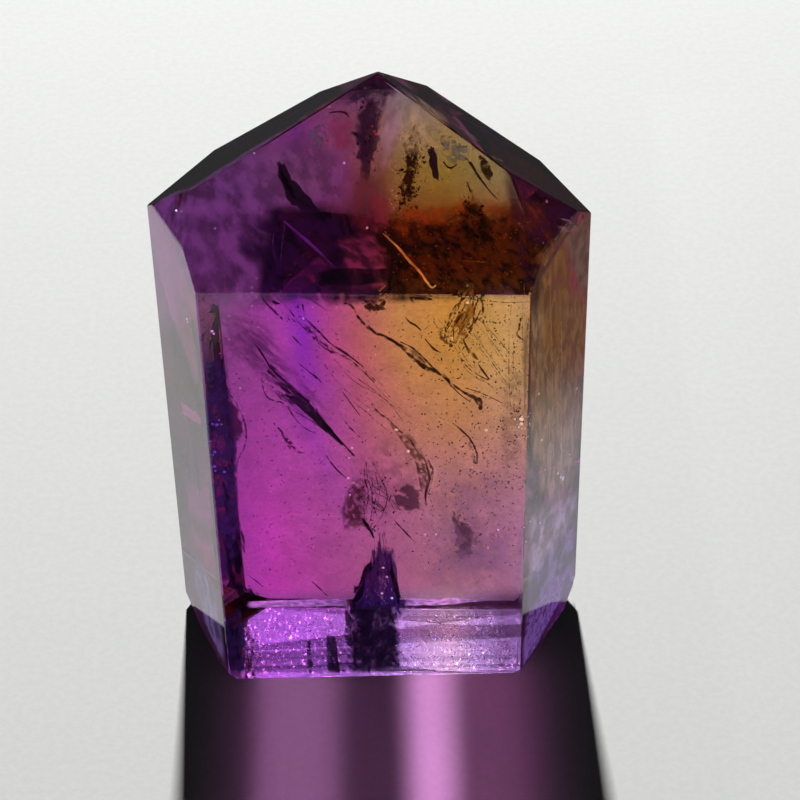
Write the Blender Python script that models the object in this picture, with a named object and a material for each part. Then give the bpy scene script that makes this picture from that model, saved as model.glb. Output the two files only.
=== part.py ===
"""An ametrine crystal point: one clear quartz stone, cut and polished to a flattened six-sided prism.

Frame: +Z up, +X to the right, -Y is the broad front wall. The origin is the middle of the stone's
bounding box, on the plane that it stands on. Lengths are in metres.
"""

import math

import bmesh
import bpy
from mathutils import Vector

MM = 0.001

# The tip, where the three large point faces meet.
TIP = Vector((0.68, 0.54, 45.56)) * MM

# Side walls: the way each one faces (degrees, counterclockwise from +X), how far its top leans inwards
# (degrees), and how far its plane passes from the origin.
WALLS = {
    "front": (-90.0, 0.0, 7.35 * MM),
    "front_left": (-156.4, 0.0, 12.55 * MM),
    "front_right": (-29.9, 0.0, 11.91 * MM),
    "back_left": (149.8, 0.0, 11.89 * MM),
    "back_right": (30.1, 0.0, 11.84 * MM),
    "back": (85.3, 1.2, 6.56 * MM),
}

# Point faces: the way each one faces, its slope from level, and how far outside the tip its plane passes.
POINT_FACES = {
    "front": (-88.1, 53.4, 0.0),
    "back_left": (140.5, 41.0, 0.0),
    "back_right": (28.2, 43.6, 0.0),
    "back": (91.0, 45.9, 0.18 * MM),
    "front_left": (-159.4, 62.8, 8.16 * MM),
    "front_right": (-30.7, 52.7, 3.70 * MM),
}

# Worn bevels round the foot: which wall each one is under, its height up that wall and its inset on the foot.
FOOT_BEVELS = {
    "back": (0.25 * MM, 1.40 * MM),
    "back_left": (0.90 * MM, 2.00 * MM),
    "back_right": (1.85 * MM, 0.95 * MM),
}

EDGE_ROUNDING = 0.16 * MM
EDGE_ROUNDING_STEPS = 2
SHARPEST_FLAT_ANGLE = math.radians(8.0)

# The rough block that the stone is cut from reaches this far past the tip and the walls.
BLOCK_MARGIN = 4.0 * MM

BODY_COLOUR = (0.42, 0.13, 0.52, 1.0)
POLISH_ROUGHNESS = 0.03
QUARTZ_IOR = 1.544


def clear_scene():
    for old in list(bpy.data.objects):
        bpy.data.objects.remove(old, do_unlink=True)


def facing(azimuth, slope):
    """The outward normal of a face that looks towards azimuth and leans slope degrees from level."""
    turn = math.radians(azimuth)
    lean = math.radians(slope)
    return Vector((
        math.cos(turn) * math.sin(lean),
        math.sin(turn) * math.sin(lean),
        math.cos(lean),
    ))


def cut(mesh, point, normal):
    """Saw off everything on the outer side of a plane, and close the stone with a flat face there."""
    everything = mesh.verts[:] + mesh.edges[:] + mesh.faces[:]
    bmesh.ops.bisect_plane(mesh, geom=everything, plane_co=point, plane_no=normal, clear_outer=True)
    rim = [edge for edge in mesh.edges if edge.is_boundary]
    if rim:
        bmesh.ops.holes_fill(mesh, edges=rim, sides=0)


def rough_block():
    """A closed block standing on the foot plane, with room for every wall and for the tip."""
    reach = max(distance for _, _, distance in WALLS.values()) + BLOCK_MARGIN
    height = TIP.z + BLOCK_MARGIN
    mesh = bmesh.new()
    bmesh.ops.create_cube(mesh, size=1.0)
    bmesh.ops.scale(mesh, vec=(2.0 * reach, 2.0 * reach, height), verts=mesh.verts)
    bmesh.ops.translate(mesh, vec=(0.0, 0.0, height / 2.0), verts=mesh.verts)
    return mesh


def cut_walls(mesh):
    for azimuth, lean, distance in WALLS.values():
        normal = facing(azimuth, 90.0 - lean)
        cut(mesh, normal * distance, normal)


def cut_point(mesh):
    for azimuth, slope, clearance in POINT_FACES.values():
        normal = facing(azimuth, slope)
        cut(mesh, TIP + normal * clearance, normal)


def cut_foot_bevels(mesh):
    for wall, (height, inset) in FOOT_BEVELS.items():
        azimuth, _, distance = WALLS[wall]
        outward = facing(azimuth, 90.0)
        normal = outward * height - Vector((0.0, 0.0, inset))
        cut(mesh, outward * (distance - inset), normal.normalized())


def polished_quartz():
    material = bpy.data.materials.new("ametrine")
    material.use_nodes = True
    shader = material.node_tree.nodes["Principled BSDF"]
    shader.inputs["Base Color"].default_value = BODY_COLOUR
    shader.inputs["Roughness"].default_value = POLISH_ROUGHNESS
    shader.inputs["Metallic"].default_value = 0.0
    shader.inputs["IOR"].default_value = QUARTZ_IOR
    shader.inputs["Transmission Weight"].default_value = 1.0
    return material


def ametrine_point():
    mesh = rough_block()
    cut_walls(mesh)
    cut_point(mesh)
    cut_foot_bevels(mesh)
    bmesh.ops.recalc_face_normals(mesh, faces=mesh.faces)
    data = bpy.data.meshes.new("ametrine_point")
    mesh.to_mesh(data)
    mesh.free()
    stone = bpy.data.objects.new("ametrine_point", data)
    bpy.context.scene.collection.objects.link(stone)
    data.materials.append(polished_quartz())
    arris = stone.modifiers.new("worn edges", "BEVEL")
    arris.width = EDGE_ROUNDING
    arris.segments = EDGE_ROUNDING_STEPS
    arris.limit_method = "ANGLE"
    arris.angle_limit = SHARPEST_FLAT_ANGLE
    return stone


clear_scene()
ametrine_point()
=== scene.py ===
import math
import random

import bpy
from mathutils import Euler, Matrix, Vector


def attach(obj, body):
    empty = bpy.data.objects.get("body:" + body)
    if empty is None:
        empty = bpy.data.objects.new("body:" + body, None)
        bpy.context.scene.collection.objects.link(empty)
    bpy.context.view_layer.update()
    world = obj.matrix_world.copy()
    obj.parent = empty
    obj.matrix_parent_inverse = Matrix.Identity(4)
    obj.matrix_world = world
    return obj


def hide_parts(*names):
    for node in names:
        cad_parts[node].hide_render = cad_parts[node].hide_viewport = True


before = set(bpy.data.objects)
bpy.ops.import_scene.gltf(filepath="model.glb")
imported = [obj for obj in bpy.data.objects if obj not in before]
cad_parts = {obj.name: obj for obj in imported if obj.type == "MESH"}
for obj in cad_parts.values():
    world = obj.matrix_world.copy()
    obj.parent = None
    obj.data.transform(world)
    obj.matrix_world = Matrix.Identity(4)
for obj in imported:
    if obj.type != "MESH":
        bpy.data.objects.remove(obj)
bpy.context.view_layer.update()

mm = 0.001
scene = bpy.context.scene


def deselectAll():
    if bpy.context.object and bpy.context.object.mode != "OBJECT":
        bpy.ops.object.mode_set(mode="OBJECT")
    bpy.ops.object.select_all(action="DESELECT")


def facing(azimuth, slope):
    turn = math.radians(azimuth)
    lean = math.radians(slope)
    return Vector((math.cos(turn) * math.sin(lean), math.sin(turn) * math.sin(lean), math.cos(lean)))


# camera
camera = {
    "place": (1.283, -131.317, 145.086),  # mm
    "turn": (46.1925, 0.8103, -0.9299),  # degrees
    "lens": 124.44,
    "sensor": 36.0,
    "sees": (0.005, 20.0),  # m, the nearest and the farthest
}


def addCamera():
    data = bpy.data.cameras.new("studioCamera")
    data.lens = camera["lens"]
    data.sensor_width = camera["sensor"]
    data.clip_start, data.clip_end = camera["sees"]
    eye = bpy.data.objects.new("studioCamera", data)
    eye.location = Vector(camera["place"]) * mm
    eye.rotation_euler = Euler([math.radians(angle) for angle in camera["turn"]])
    scene.collection.objects.link(eye)
    scene.camera = eye


addCamera()
print("camera placed")

# the stone: a flattened prism with six walls and six point faces
stone = {
    "tip": (0.68, 0.54, 45.56),  # mm
    "walls": {  # the way each wall faces and its lean, in degrees, and its distance from the middle, in mm
        "front": (-90.0, 0.0, 7.35),
        "frontLeft": (-156.4, 0.0, 12.55),
        "frontRight": (-29.9, 0.0, 11.91),
        "backLeft": (149.8, 0.0, 11.89),
        "backRight": (30.1, 0.0, 11.84),
        "back": (85.3, 1.2, 6.56),
    },
    "pointFaces": {  # the way each face looks, its slope, and how far outside the tip its plane passes
        "front": (-88.1, 53.4, 0.0),
        "backLeft": (140.5, 41.0, 0.0),
        "backRight": (28.2, 43.6, 0.0),
        "back": (91.0, 45.9, 0.18),
        "frontLeft": (-159.4, 62.8, 8.16),
        "frontRight": (-30.7, 52.7, 3.70),
    },
    "viewed": {"point": "front", "pointLeft": "frontLeft", "pointRight": "frontRight"},
    "footBevels": {  # height up the wall and inset on the foot
        "back": (0.25, 1.40),
        "backLeft": (0.90, 2.00),
        "backRight": (1.85, 0.95),
    },
    "cornerChips": [  # a corner, the way its chip looks, and how deep it goes
        ((-10.43, -7.35, 0.0), (-0.60, -0.50, -0.62), 0.30),
        ((9.48, -7.35, 0.0), (0.45, -0.62, -0.64), 0.16),
        ((13.66, -1.19, 1.0), (0.85, 0.10, -0.50), 0.14),
    ],
    "block": (40, 40, 50),  # the rough that it is sawn from
    "edgeRound": 0.10,
    "edgeSteps": 2,
    "edgeAngle": 8,  # degrees, flatter edges stay sharp
    "wornWidth": 1.2,  # mm, a face this wide or wider isn't an edge
    "flatWithin": 0.9998,  # how nearly a face looks the way of a polished one
    "ior": 1.544,
}


def stonePlanes():
    planes = [(Vector((0, 0, -1)), 0.0)]
    for azimuth, lean, distance in stone["walls"].values():
        planes.append((facing(azimuth, 90 - lean), distance))
    for azimuth, slope, clearance in stone["pointFaces"].values():
        outward = facing(azimuth, slope)
        planes.append((outward, outward.dot(Vector(stone["tip"])) + clearance))
    return planes


def sawOff(point, normal):
    bpy.ops.mesh.select_all(action="SELECT")
    bpy.ops.mesh.bisect(plane_co=point, plane_no=normal, use_fill=True, clear_outer=True, clear_inner=False)


def markWear(body):
    # faces of the rounded edges and the chips are worn, the big polished ones are not
    broad = [normal for normal, distance in stonePlanes()]
    wear = body.data.attributes.new("wear", "FLOAT", "FACE")
    for face in body.data.polygons:
        polished = any(face.normal.dot(normal) > stone["flatWithin"] for normal in broad)
        wide = face.area > (stone["wornWidth"] * mm) ** 2
        wear.data[face.index].value = 0.0 if polished or wide else 1.0


def buildStone():
    deselectAll()
    wide, deep, tall = [side * mm for side in stone["block"]]
    bpy.ops.mesh.primitive_cube_add(size=1.0, location=(0, 0, tall / 2), scale=(wide, deep, tall))
    body = bpy.context.object
    body.name = "ametrineCrystal"
    bpy.ops.object.transform_apply(location=True, rotation=True, scale=True)
    bpy.ops.object.mode_set(mode="EDIT")
    for normal, distance in stonePlanes():
        sawOff(normal * distance * mm, normal)
    for wall, (height, inset) in stone["footBevels"].items():
        azimuth, lean, distance = stone["walls"][wall]
        outward = facing(azimuth, 90)
        normal = (outward * height - Vector((0, 0, inset))).normalized()
        sawOff(outward * (distance - inset) * mm, normal)
    for corner, way, depth in stone["cornerChips"]:
        normal = Vector(way).normalized()
        sawOff((Vector(corner) - normal * depth) * mm, normal)
    bpy.ops.mesh.select_all(action="SELECT")
    bpy.ops.mesh.normals_make_consistent(inside=False)
    bpy.ops.object.mode_set(mode="OBJECT")
    rounding = body.modifiers.new("worn edges", "BEVEL")
    rounding.width = stone["edgeRound"] * mm
    rounding.segments = stone["edgeSteps"]
    rounding.limit_method = "ANGLE"
    rounding.angle_limit = math.radians(stone["edgeAngle"])
    bpy.ops.object.modifier_apply(modifier=rounding.name)
    markWear(body)
    return body


# node building
def fillSockets(tree, node, sockets):
    for socket, value in sockets.items():
        if isinstance(value, bpy.types.NodeSocket):
            tree.links.new(value, node.inputs[socket])
        else:
            node.inputs[socket].default_value = value


def addTo(tree, kind, sockets=None, **settings):
    made = tree.nodes.new(kind)
    for name, value in settings.items():
        setattr(made, name, value)
    fillSockets(tree, made, sockets or {})
    return made


def addNode(material, kind, sockets=None, **settings):
    return addTo(material.node_tree, "ShaderNode" + kind, sockets, **settings)


def math2(material, operation, first, second=0.0):
    return addNode(material, "Math", {0: first, 1: second}, operation=operation).outputs[0]


def rise(material, value, low, high, start=0.0, end=1.0):
    limits = {"Value": value, "From Min": low, "From Max": high, "To Min": start, "To Max": end}
    return addNode(material, "MapRange", limits, interpolation_type="SMOOTHSTEP").outputs[0]


def blendColours(material, factor, first, second):
    mixed = addNode(material, "Mix", {0: factor, 6: first, 7: second}, data_type="RGBA")
    return mixed.outputs[2]


def addNoise(material, where, size, detail=3.0):
    return addNode(material, "TexNoise", {"Vector": where, "Scale": 1 / (size * mm), "Detail": detail})


def newMaterial(name):
    material = bpy.data.materials.new(name)
    material.use_nodes = True
    return material


def finishMaterial(material, sockets):
    fillSockets(material.node_tree, material.node_tree.nodes["Principled BSDF"], sockets)
    return material


# the two colours of the quartz: purple to the left, golden orange to the right
quartz = {
    "halfSpan": 12.0,  # mm, how far to each side of the middle the colour bands reach
    "bands": {
        "upper": [
            (-12.0, (0.26, 0.10, 0.38)),
            (-8.0, (0.52, 0.13, 0.58)),
            (-5.8, (0.66, 0.12, 0.76)),
            (-4.5, (0.46, 0.060, 0.92)),
            (-2.7, (0.78, 0.150, 0.56)),
            (-1.0, (0.90, 0.27, 0.31)),
            (1.6, (0.96, 0.56, 0.16)),
            (5.0, (0.96, 0.60, 0.095)),
            (8.5, (0.98, 0.78, 0.24)),
            (10.2, (0.70, 0.50, 0.20)),
            (12.0, (0.36, 0.22, 0.07)),
        ],
        "lower": [
            (-12.0, (0.72, 0.11, 0.84)),
            (-10.2, (1.00, 0.125, 1.00)),
            (-6.6, (0.78, 0.165, 0.70)),
            (-4.0, (0.76, 0.23, 0.60)),
            (-1.0, (0.76, 0.31, 0.55)),
            (2.0, (0.84, 0.44, 0.52)),
            (5.0, (0.84, 0.46, 0.66)),
            (9.0, (0.62, 0.40, 0.74)),
            (12.0, (0.50, 0.40, 0.80)),
        ],
        "shoulder": [
            (-12.0, (0.24, 0.06, 0.34)),
            (-4.0, (0.26, 0.04, 0.26)),
            (0.0, (0.34, 0.06, 0.16)),
            (1.6, (0.66, 0.16, 0.03)),
            (4.0, (0.70, 0.14, 0.008)),
            (7.5, (0.72, 0.22, 0.010)),
            (12.0, (0.40, 0.20, 0.15)),
        ],
        "point": [
            (-12.0, (0.22, 0.09, 0.28)),
            (-8.0, (0.22, 0.07, 0.34)),
            (-4.0, (0.34, 0.11, 0.22)),
            (-1.4, (0.36, 0.07, 0.26)),
            (0.5, (0.38, 0.11, 0.09)),
            (2.2, (0.50, 0.34, 0.05)),
            (4.3, (0.55, 0.47, 0.05)),
            (8.0, (0.42, 0.42, 0.20)),
            (12.0, (0.40, 0.30, 0.30)),
        ],
        "tip": [
            (-12.0, (0.25, 0.10, 0.28)),
            (-3.0, (0.28, 0.09, 0.23)),
            (-0.4, (0.30, 0.09, 0.25)),
            (1.0, (0.44, 0.24, 0.33)),
            (2.2, (0.50, 0.42, 0.42)),
            (5.0, (0.48, 0.44, 0.34)),
            (12.0, (0.42, 0.36, 0.34)),
        ],
        "foot": [
            (-12.0, (0.16, 0.08, 0.34)),
            (-9.8, (0.12, 0.05, 0.26)),
            (-9.1, (0.25, 0.15, 0.44)),
            (-5.0, (0.24, 0.15, 0.56)),
            (-2.4, (0.18, 0.11, 0.42)),
            (1.2, (0.32, 0.30, 0.80)),
            (4.6, (0.74, 0.72, 1.00)),
            (6.6, (0.26, 0.20, 0.56)),
            (8.2, (0.08, 0.045, 0.16)),
            (12.0, (0.12, 0.06, 0.30)),
        ],
    },
    "gives": {  # mm up the stone, where the bands below give way to these ones
        "upper": (12, 25),
        "foot": (9.5, 7.5),
        "shoulder": (35.2, 36),
        "point": (38.3, 40.8),
        "tip": (40.6, 43.4),
    },
    "frontOnly": ("foot", "shoulder", "point"),
    "tipBehind": 3.5,  # mm, how much lower the tip's bands start behind the middle
    "driftSize": 7.0,
    "drift": 2.2,  # mm, how far the bands wander
    "lag": (27, 12, 3.0),  # mm, from which height to which the bands shift to the right, and how far
    "cloudSize": 1.6,
    "cloudDepth": 0.84,
    "speckleSize": 0.26,
    "speckleDepth": 0.86,
    "absorb": (0.74, 0.20, 0.46),
    "absorbDensity": 50.0,
    "footHeight": (0.12, 0.02),  # mm, the sawn foot's finish starts and is full here
    "footRough": (0.05, 0.24),
    "footPatch": 0.5,
    "footStretch": 0.35,
    "footPit": 0.34,
    "pitStrength": 0.5,
    "wornRough": (0.02, 0.22),
    "scuffSize": 0.5,
}


def bandColour(material, across, name):
    stops = quartz["bands"][name]
    half = quartz["halfSpan"] * mm
    along = addNode(material, "MapRange", {"Value": across, "From Min": -half, "From Max": half}).outputs[0]
    ramp = addNode(material, "ValToRGB", {"Fac": along})
    elements = ramp.color_ramp.elements
    elements.remove(elements[-1])
    for number, (place, colour) in enumerate(stops):
        share = (place * mm + half) / (2 * half)
        stop = elements[0] if number == 0 else elements.new(share)
        stop.position = share
        stop.color = (*colour, 1)
    return ramp.outputs["Color"]


def quartzColour(material, where, split):
    # the bands wander with height, and change from the foot to the tip
    wander = addNoise(material, where, quartz["driftSize"], 2.0).outputs["Fac"]
    drift = math2(material, "MULTIPLY", math2(material, "SUBTRACT", wander, 0.5), quartz["drift"] * mm)
    high, low, shift = quartz["lag"]
    lag = rise(material, split["Z"], high * mm, low * mm, 0.0, shift * mm)
    across = math2(material, "SUBTRACT", math2(material, "ADD", split["X"], drift), lag)
    behind = math2(material, "GREATER_THAN", split["Y"], 0.0)
    front = math2(material, "SUBTRACT", 1.0, behind)
    lifted = math2(material, "MULTIPLY", behind, quartz["tipBehind"] * mm)
    raised = math2(material, "ADD", split["Z"], lifted)
    colour = bandColour(material, across, "lower")
    for name, (start, full) in quartz["gives"].items():
        share = rise(material, raised if name == "tip" else split["Z"], start * mm, full * mm)
        if name in quartz["frontOnly"]:
            share = math2(material, "MULTIPLY", share, front)
        bands = bandColour(material, across if name == "upper" else split["X"], name)
        colour = blendColours(material, share, colour, bands)
    # faint clouds, a little lighter and darker than the stone round them
    clouds = addNoise(material, where, quartz["cloudSize"], 4.0).outputs["Fac"]
    shade = rise(material, clouds, 0.36, 0.62, quartz["cloudDepth"], 1.0)
    speckle = addNoise(material, where, quartz["speckleSize"]).outputs["Fac"]
    speckled = rise(material, speckle, 0.35, 0.65, quartz["speckleDepth"], 1.0)
    shade = math2(material, "MULTIPLY", shade, speckled)
    return addNode(material, "VectorMath", {0: colour, "Scale": shade}, operation="SCALE").outputs[0]


def clearQuartz():
    material = newMaterial("clearQuartz")
    where = addNode(material, "TexCoord").outputs["Object"]
    split = addNode(material, "SeparateXYZ", {0: where}).outputs
    start, full = quartz["footHeight"]
    ground = rise(material, split["Z"], start * mm, full * mm)
    stretch = {"Vector": where, "Scale": (1.0, quartz["footStretch"], 1.0)}
    footWhere = addNode(material, "Mapping", stretch).outputs[0]
    patches = addNoise(material, footWhere, quartz["footPatch"]).outputs["Fac"]
    footRough = math2(material, "MULTIPLY", ground, rise(material, patches, 0.35, 0.6, *quartz["footRough"]))
    worn = addNode(material, "Attribute", attribute_name="wear").outputs["Fac"]
    scuffs = addNoise(material, where, quartz["scuffSize"]).outputs["Fac"]
    edgeRough = math2(material, "MULTIPLY", worn, rise(material, scuffs, 0.4, 0.65, *quartz["wornRough"]))
    pits = {"Vector": footWhere, "Scale": 1 / (quartz["footPit"] * mm)}
    cells = addNode(material, "TexVoronoi", pits).outputs["Distance"]
    relief = math2(material, "MULTIPLY", cells, math2(material, "MAXIMUM", ground, worn))
    bump = {"Height": relief, "Strength": quartz["pitStrength"], "Distance": 0.05 * mm}
    absorb = {"Color": (*quartz["absorb"], 1), "Density": quartz["absorbDensity"]}
    inside = addNode(material, "VolumeAbsorption", absorb).outputs[0]
    fillSockets(material.node_tree, material.node_tree.nodes["Material Output"], {"Volume": inside})
    return finishMaterial(material, {
        "IOR": stone["ior"],
        "Transmission Weight": 1.0,
        "Base Color": quartzColour(material, where, split),
        "Roughness": math2(material, "MAXIMUM", footRough, edgeRough),
        "Normal": addNode(material, "Bump", bump).outputs[0],
    })


crystal = buildStone()
crystal.data.materials.clear()
crystal.data.materials.append(clearQuartz())
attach(crystal, "root")
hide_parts("ametrine_point")
print("stone cut")


# places inside the crystal: a spot on a face, in mm across and up, and how much of the way through it lies
def throughCrystal(across, height, face):
    if face in stone["walls"]:
        azimuth, lean, distance = stone["walls"][face]
        outward = facing(azimuth, 90 - lean)
    else:
        azimuth, slope, clearance = stone["pointFaces"][stone["viewed"][face]]
        outward = facing(azimuth, slope)
        distance = outward.dot(Vector(stone["tip"])) + clearance
    spot = Vector((across, (distance - outward.x * across - outward.z * height) / outward.y, height))
    sight = (spot - Vector(camera["place"])).normalized()
    ratio = 1 / stone["ior"]
    square = -outward.dot(sight)
    bent = sight * ratio + outward * (ratio * square - math.sqrt(1 - ratio ** 2 * (1 - square ** 2)))
    ways = [(away - normal.dot(spot), normal.dot(bent)) for normal, away in stonePlanes()]
    reach = min(gap / speed for gap, speed in ways if speed > 0.001)
    return spot, bent, reach


def placesInside(face, depths, path):
    places = []
    sights = Vector((0, 0, 0))
    for step, spotted in enumerate(path):
        share = depths[0] + (depths[1] - depths[0]) * step / (len(path) - 1)
        spot, bent, reach = throughCrystal(spotted[0], spotted[1], face)
        places.append(spot + bent * reach * share)
        sights += bent
    return places, sights.normalized()


def planeThrough(places, sight):
    lengthways = places[-1] - places[0]
    lengthways = (lengthways - sight * lengthways.dot(sight)).normalized()
    turn = Matrix((lengthways.cross(sight), sight, lengthways)).transposed().to_4x4()
    turn.translation = places[0]
    return turn


def setInPlace(piece, turn):
    # the piece was shaped about the origin in mm, and is laid into its plane in the crystal
    piece.matrix_world = Matrix.Scale(mm, 4) @ turn
    bpy.ops.object.transform_apply(location=True, rotation=True, scale=True)
    trimToStone(piece)


def trimToStone(piece):
    # nothing that lies in the crystal comes out through a face
    inset = inclusions["clearance"]
    bpy.ops.object.mode_set(mode="EDIT")
    for normal, distance in stonePlanes():
        sawOff(normal * (distance - inset) * mm, normal)
    bpy.ops.object.mode_set(mode="OBJECT")


def growBlade(face, depths, path, flatness, ragged):
    places, sight = placesInside(face, depths, path)
    turn = planeThrough(places, sight)
    deselectAll()
    bpy.ops.curve.primitive_bezier_curve_add(radius=1.0)
    blade = bpy.context.object
    blade.matrix_world = Matrix.Identity(4)
    blade.data.resolution_u = 4
    blade.data.bevel_depth = 1.0
    blade.data.bevel_resolution = 2
    blade.data.use_fill_caps = True
    points = blade.data.splines[0].bezier_points
    points.add(len(path) - 2)
    for point, place, spotted in zip(points, places, path):
        inPlane = turn.inverted() @ place
        point.co = (inPlane.x, inPlane.y / flatness, inPlane.z)
        point.radius = spotted[2] / 2
        point.handle_left_type = "AUTO"
        point.handle_right_type = "AUTO"
    bpy.ops.object.convert(target="MESH")
    markBody(blade, [abs(corner.normal.y) for corner in blade.data.vertices])
    bpy.ops.object.mode_set(mode="EDIT")
    bpy.ops.mesh.select_all(action="SELECT")
    bpy.ops.mesh.remove_doubles(threshold=0.001)
    bpy.ops.transform.vertex_random(offset=ragged, seed=rolls.randrange(1, 9999))
    bpy.ops.transform.resize(value=(1, flatness, 1), center_override=(0, 0, 0))
    bpy.ops.mesh.normals_make_consistent(inside=False)
    bpy.ops.object.mode_set(mode="OBJECT")
    setInPlace(blade, turn)
    return blade


def markBody(piece, values):
    # 1 in the middle of a film or a blade, 0 along its rim, where it thins out
    body = piece.data.attributes.new("body", "FLOAT", "POINT")
    for entry, value in zip(body.data, values):
        entry.value = value


def growStrands(face, depths, path, count, width):
    # fine blades side by side within the width of one path
    strands = []
    for number in range(count):
        offset = rolls.uniform(-0.5, 0.5)
        first = rolls.randrange(0, len(path) - 2)
        last = rolls.randrange(first + 3, len(path) + 1)
        strand = []
        for step in range(first, last):
            across, height, spread = path[step]
            before = path[max(step - 1, 0)]
            after = path[min(step + 1, len(path) - 1)]
            way = Vector((after[0] - before[0], after[1] - before[1])).normalized()
            away = offset * spread + rolls.uniform(-0.10, 0.10) * spread
            thick = width * rolls.uniform(0.4, 1.4) * (0.35 if step in (first, last - 1) else 1.0)
            strand.append((across + way.y * away, height - way.x * away, thick))
        shift = rolls.uniform(-0.04, 0.04)
        moved = [depth + shift for depth in depths]
        ragged = inclusions["strandRagged"] * width
        strands.append(growBlade(face, moved, strand, inclusions["strandFlatness"], ragged))
    return strands


def laySheet(face, share, outline, tilt=0.0):
    # a thin film: a ragged rim round one middle point
    depths = (share - tilt, share + tilt)
    ragged = inclusions["raggedRim"]
    rim = []
    for number, corner in enumerate(outline):
        following = outline[(number + 1) % len(outline)]
        rim.append(corner)
        for part in (1 / 3, 2 / 3):
            between = []
            for here, there in zip(corner, following):
                between.append(here + (there - here) * part + rolls.uniform(-ragged, ragged))
            rim.append(tuple(between))
    places, sight = placesInside(face, depths, rim)
    turn = planeThrough([places[0], places[len(places) // 2]], sight)
    deselectAll()
    bpy.ops.mesh.primitive_circle_add(vertices=len(rim), radius=1.0, fill_type="TRIFAN")
    sheet = bpy.context.object
    corners = sheet.data.vertices
    hub = min(corners, key=lambda corner: corner.co.length).index
    markBody(sheet, [1.0 if corner.index == hub else 0.0 for corner in corners])
    for corner, place in zip([corner for corner in corners if corner.index != hub], places):
        corner.co = turn.inverted() @ place
    corners[hub].co = turn.inverted() @ (sum(places, Vector()) / len(places))
    bpy.ops.object.mode_set(mode="EDIT")
    bpy.ops.mesh.select_all(action="SELECT")
    bpy.ops.mesh.extrude_region_move(TRANSFORM_OT_translate={"value": (0, inclusions["filmThickness"], 0)})
    bpy.ops.mesh.select_all(action="SELECT")
    bpy.ops.mesh.normals_make_consistent(inside=False)
    bpy.ops.object.mode_set(mode="OBJECT")
    setInPlace(sheet, turn)
    return sheet


def joinPieces(pieces, name):
    deselectAll()
    for piece in pieces:
        piece.select_set(True)
    bpy.context.view_layer.objects.active = max(pieces, key=lambda piece: len(piece.data.vertices))
    if len(pieces) > 1:
        bpy.ops.object.join()
    joined = bpy.context.object
    joined.name = name
    return joined


def finishInclusion(piece, material):
    piece.data.materials.clear()
    piece.data.materials.append(material)
    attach(piece, "root")


inclusions = {
    "seed": 7,
    "clearance": 0.12,  # mm kept between an inclusion and the faces of the crystal
    "filmThickness": 0.03,
    "filmTilt": 0.03,  # share of the way through by which a film's ends differ in depth
    "raggedRim": 0.08,  # mm
    "bladeRagged": (0.15, 0.4),  # share of a blade's width, and the width in mm past which it stays
    "strandRagged": 0.25,
    "strandFlatness": 0.5,
    "dull": 0.45,  # how bright the darker wisps of an inclusion are beside the lighter ones
}
rolls = random.Random(inclusions["seed"])

# finishes of the inclusions. A veil fades in from its rim, and its cloud goes from 0, patchy, to 1, even.
# A torn film is the more complete the nearer its fill is to 1. The wisps are a size in mm, how much longer
# than wide they are, and how they lie in degrees.
def veil(colour, cover, fade, cloud, wisps, glow):
    return {"colour": colour, "cover": cover, "fade": fade, "cloud": cloud, "wisps": wisps, "glow": glow}


def tornFilm(colour, cover, fill, wisps, glow=0):
    return {"colour": colour, "cover": cover, "fill": fill, "wisps": wisps, "glow": glow}


def solidGrain(colour, glow=0):
    return {"colour": colour, "wisps": (0.5, 1, 0), "glow": glow}


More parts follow.
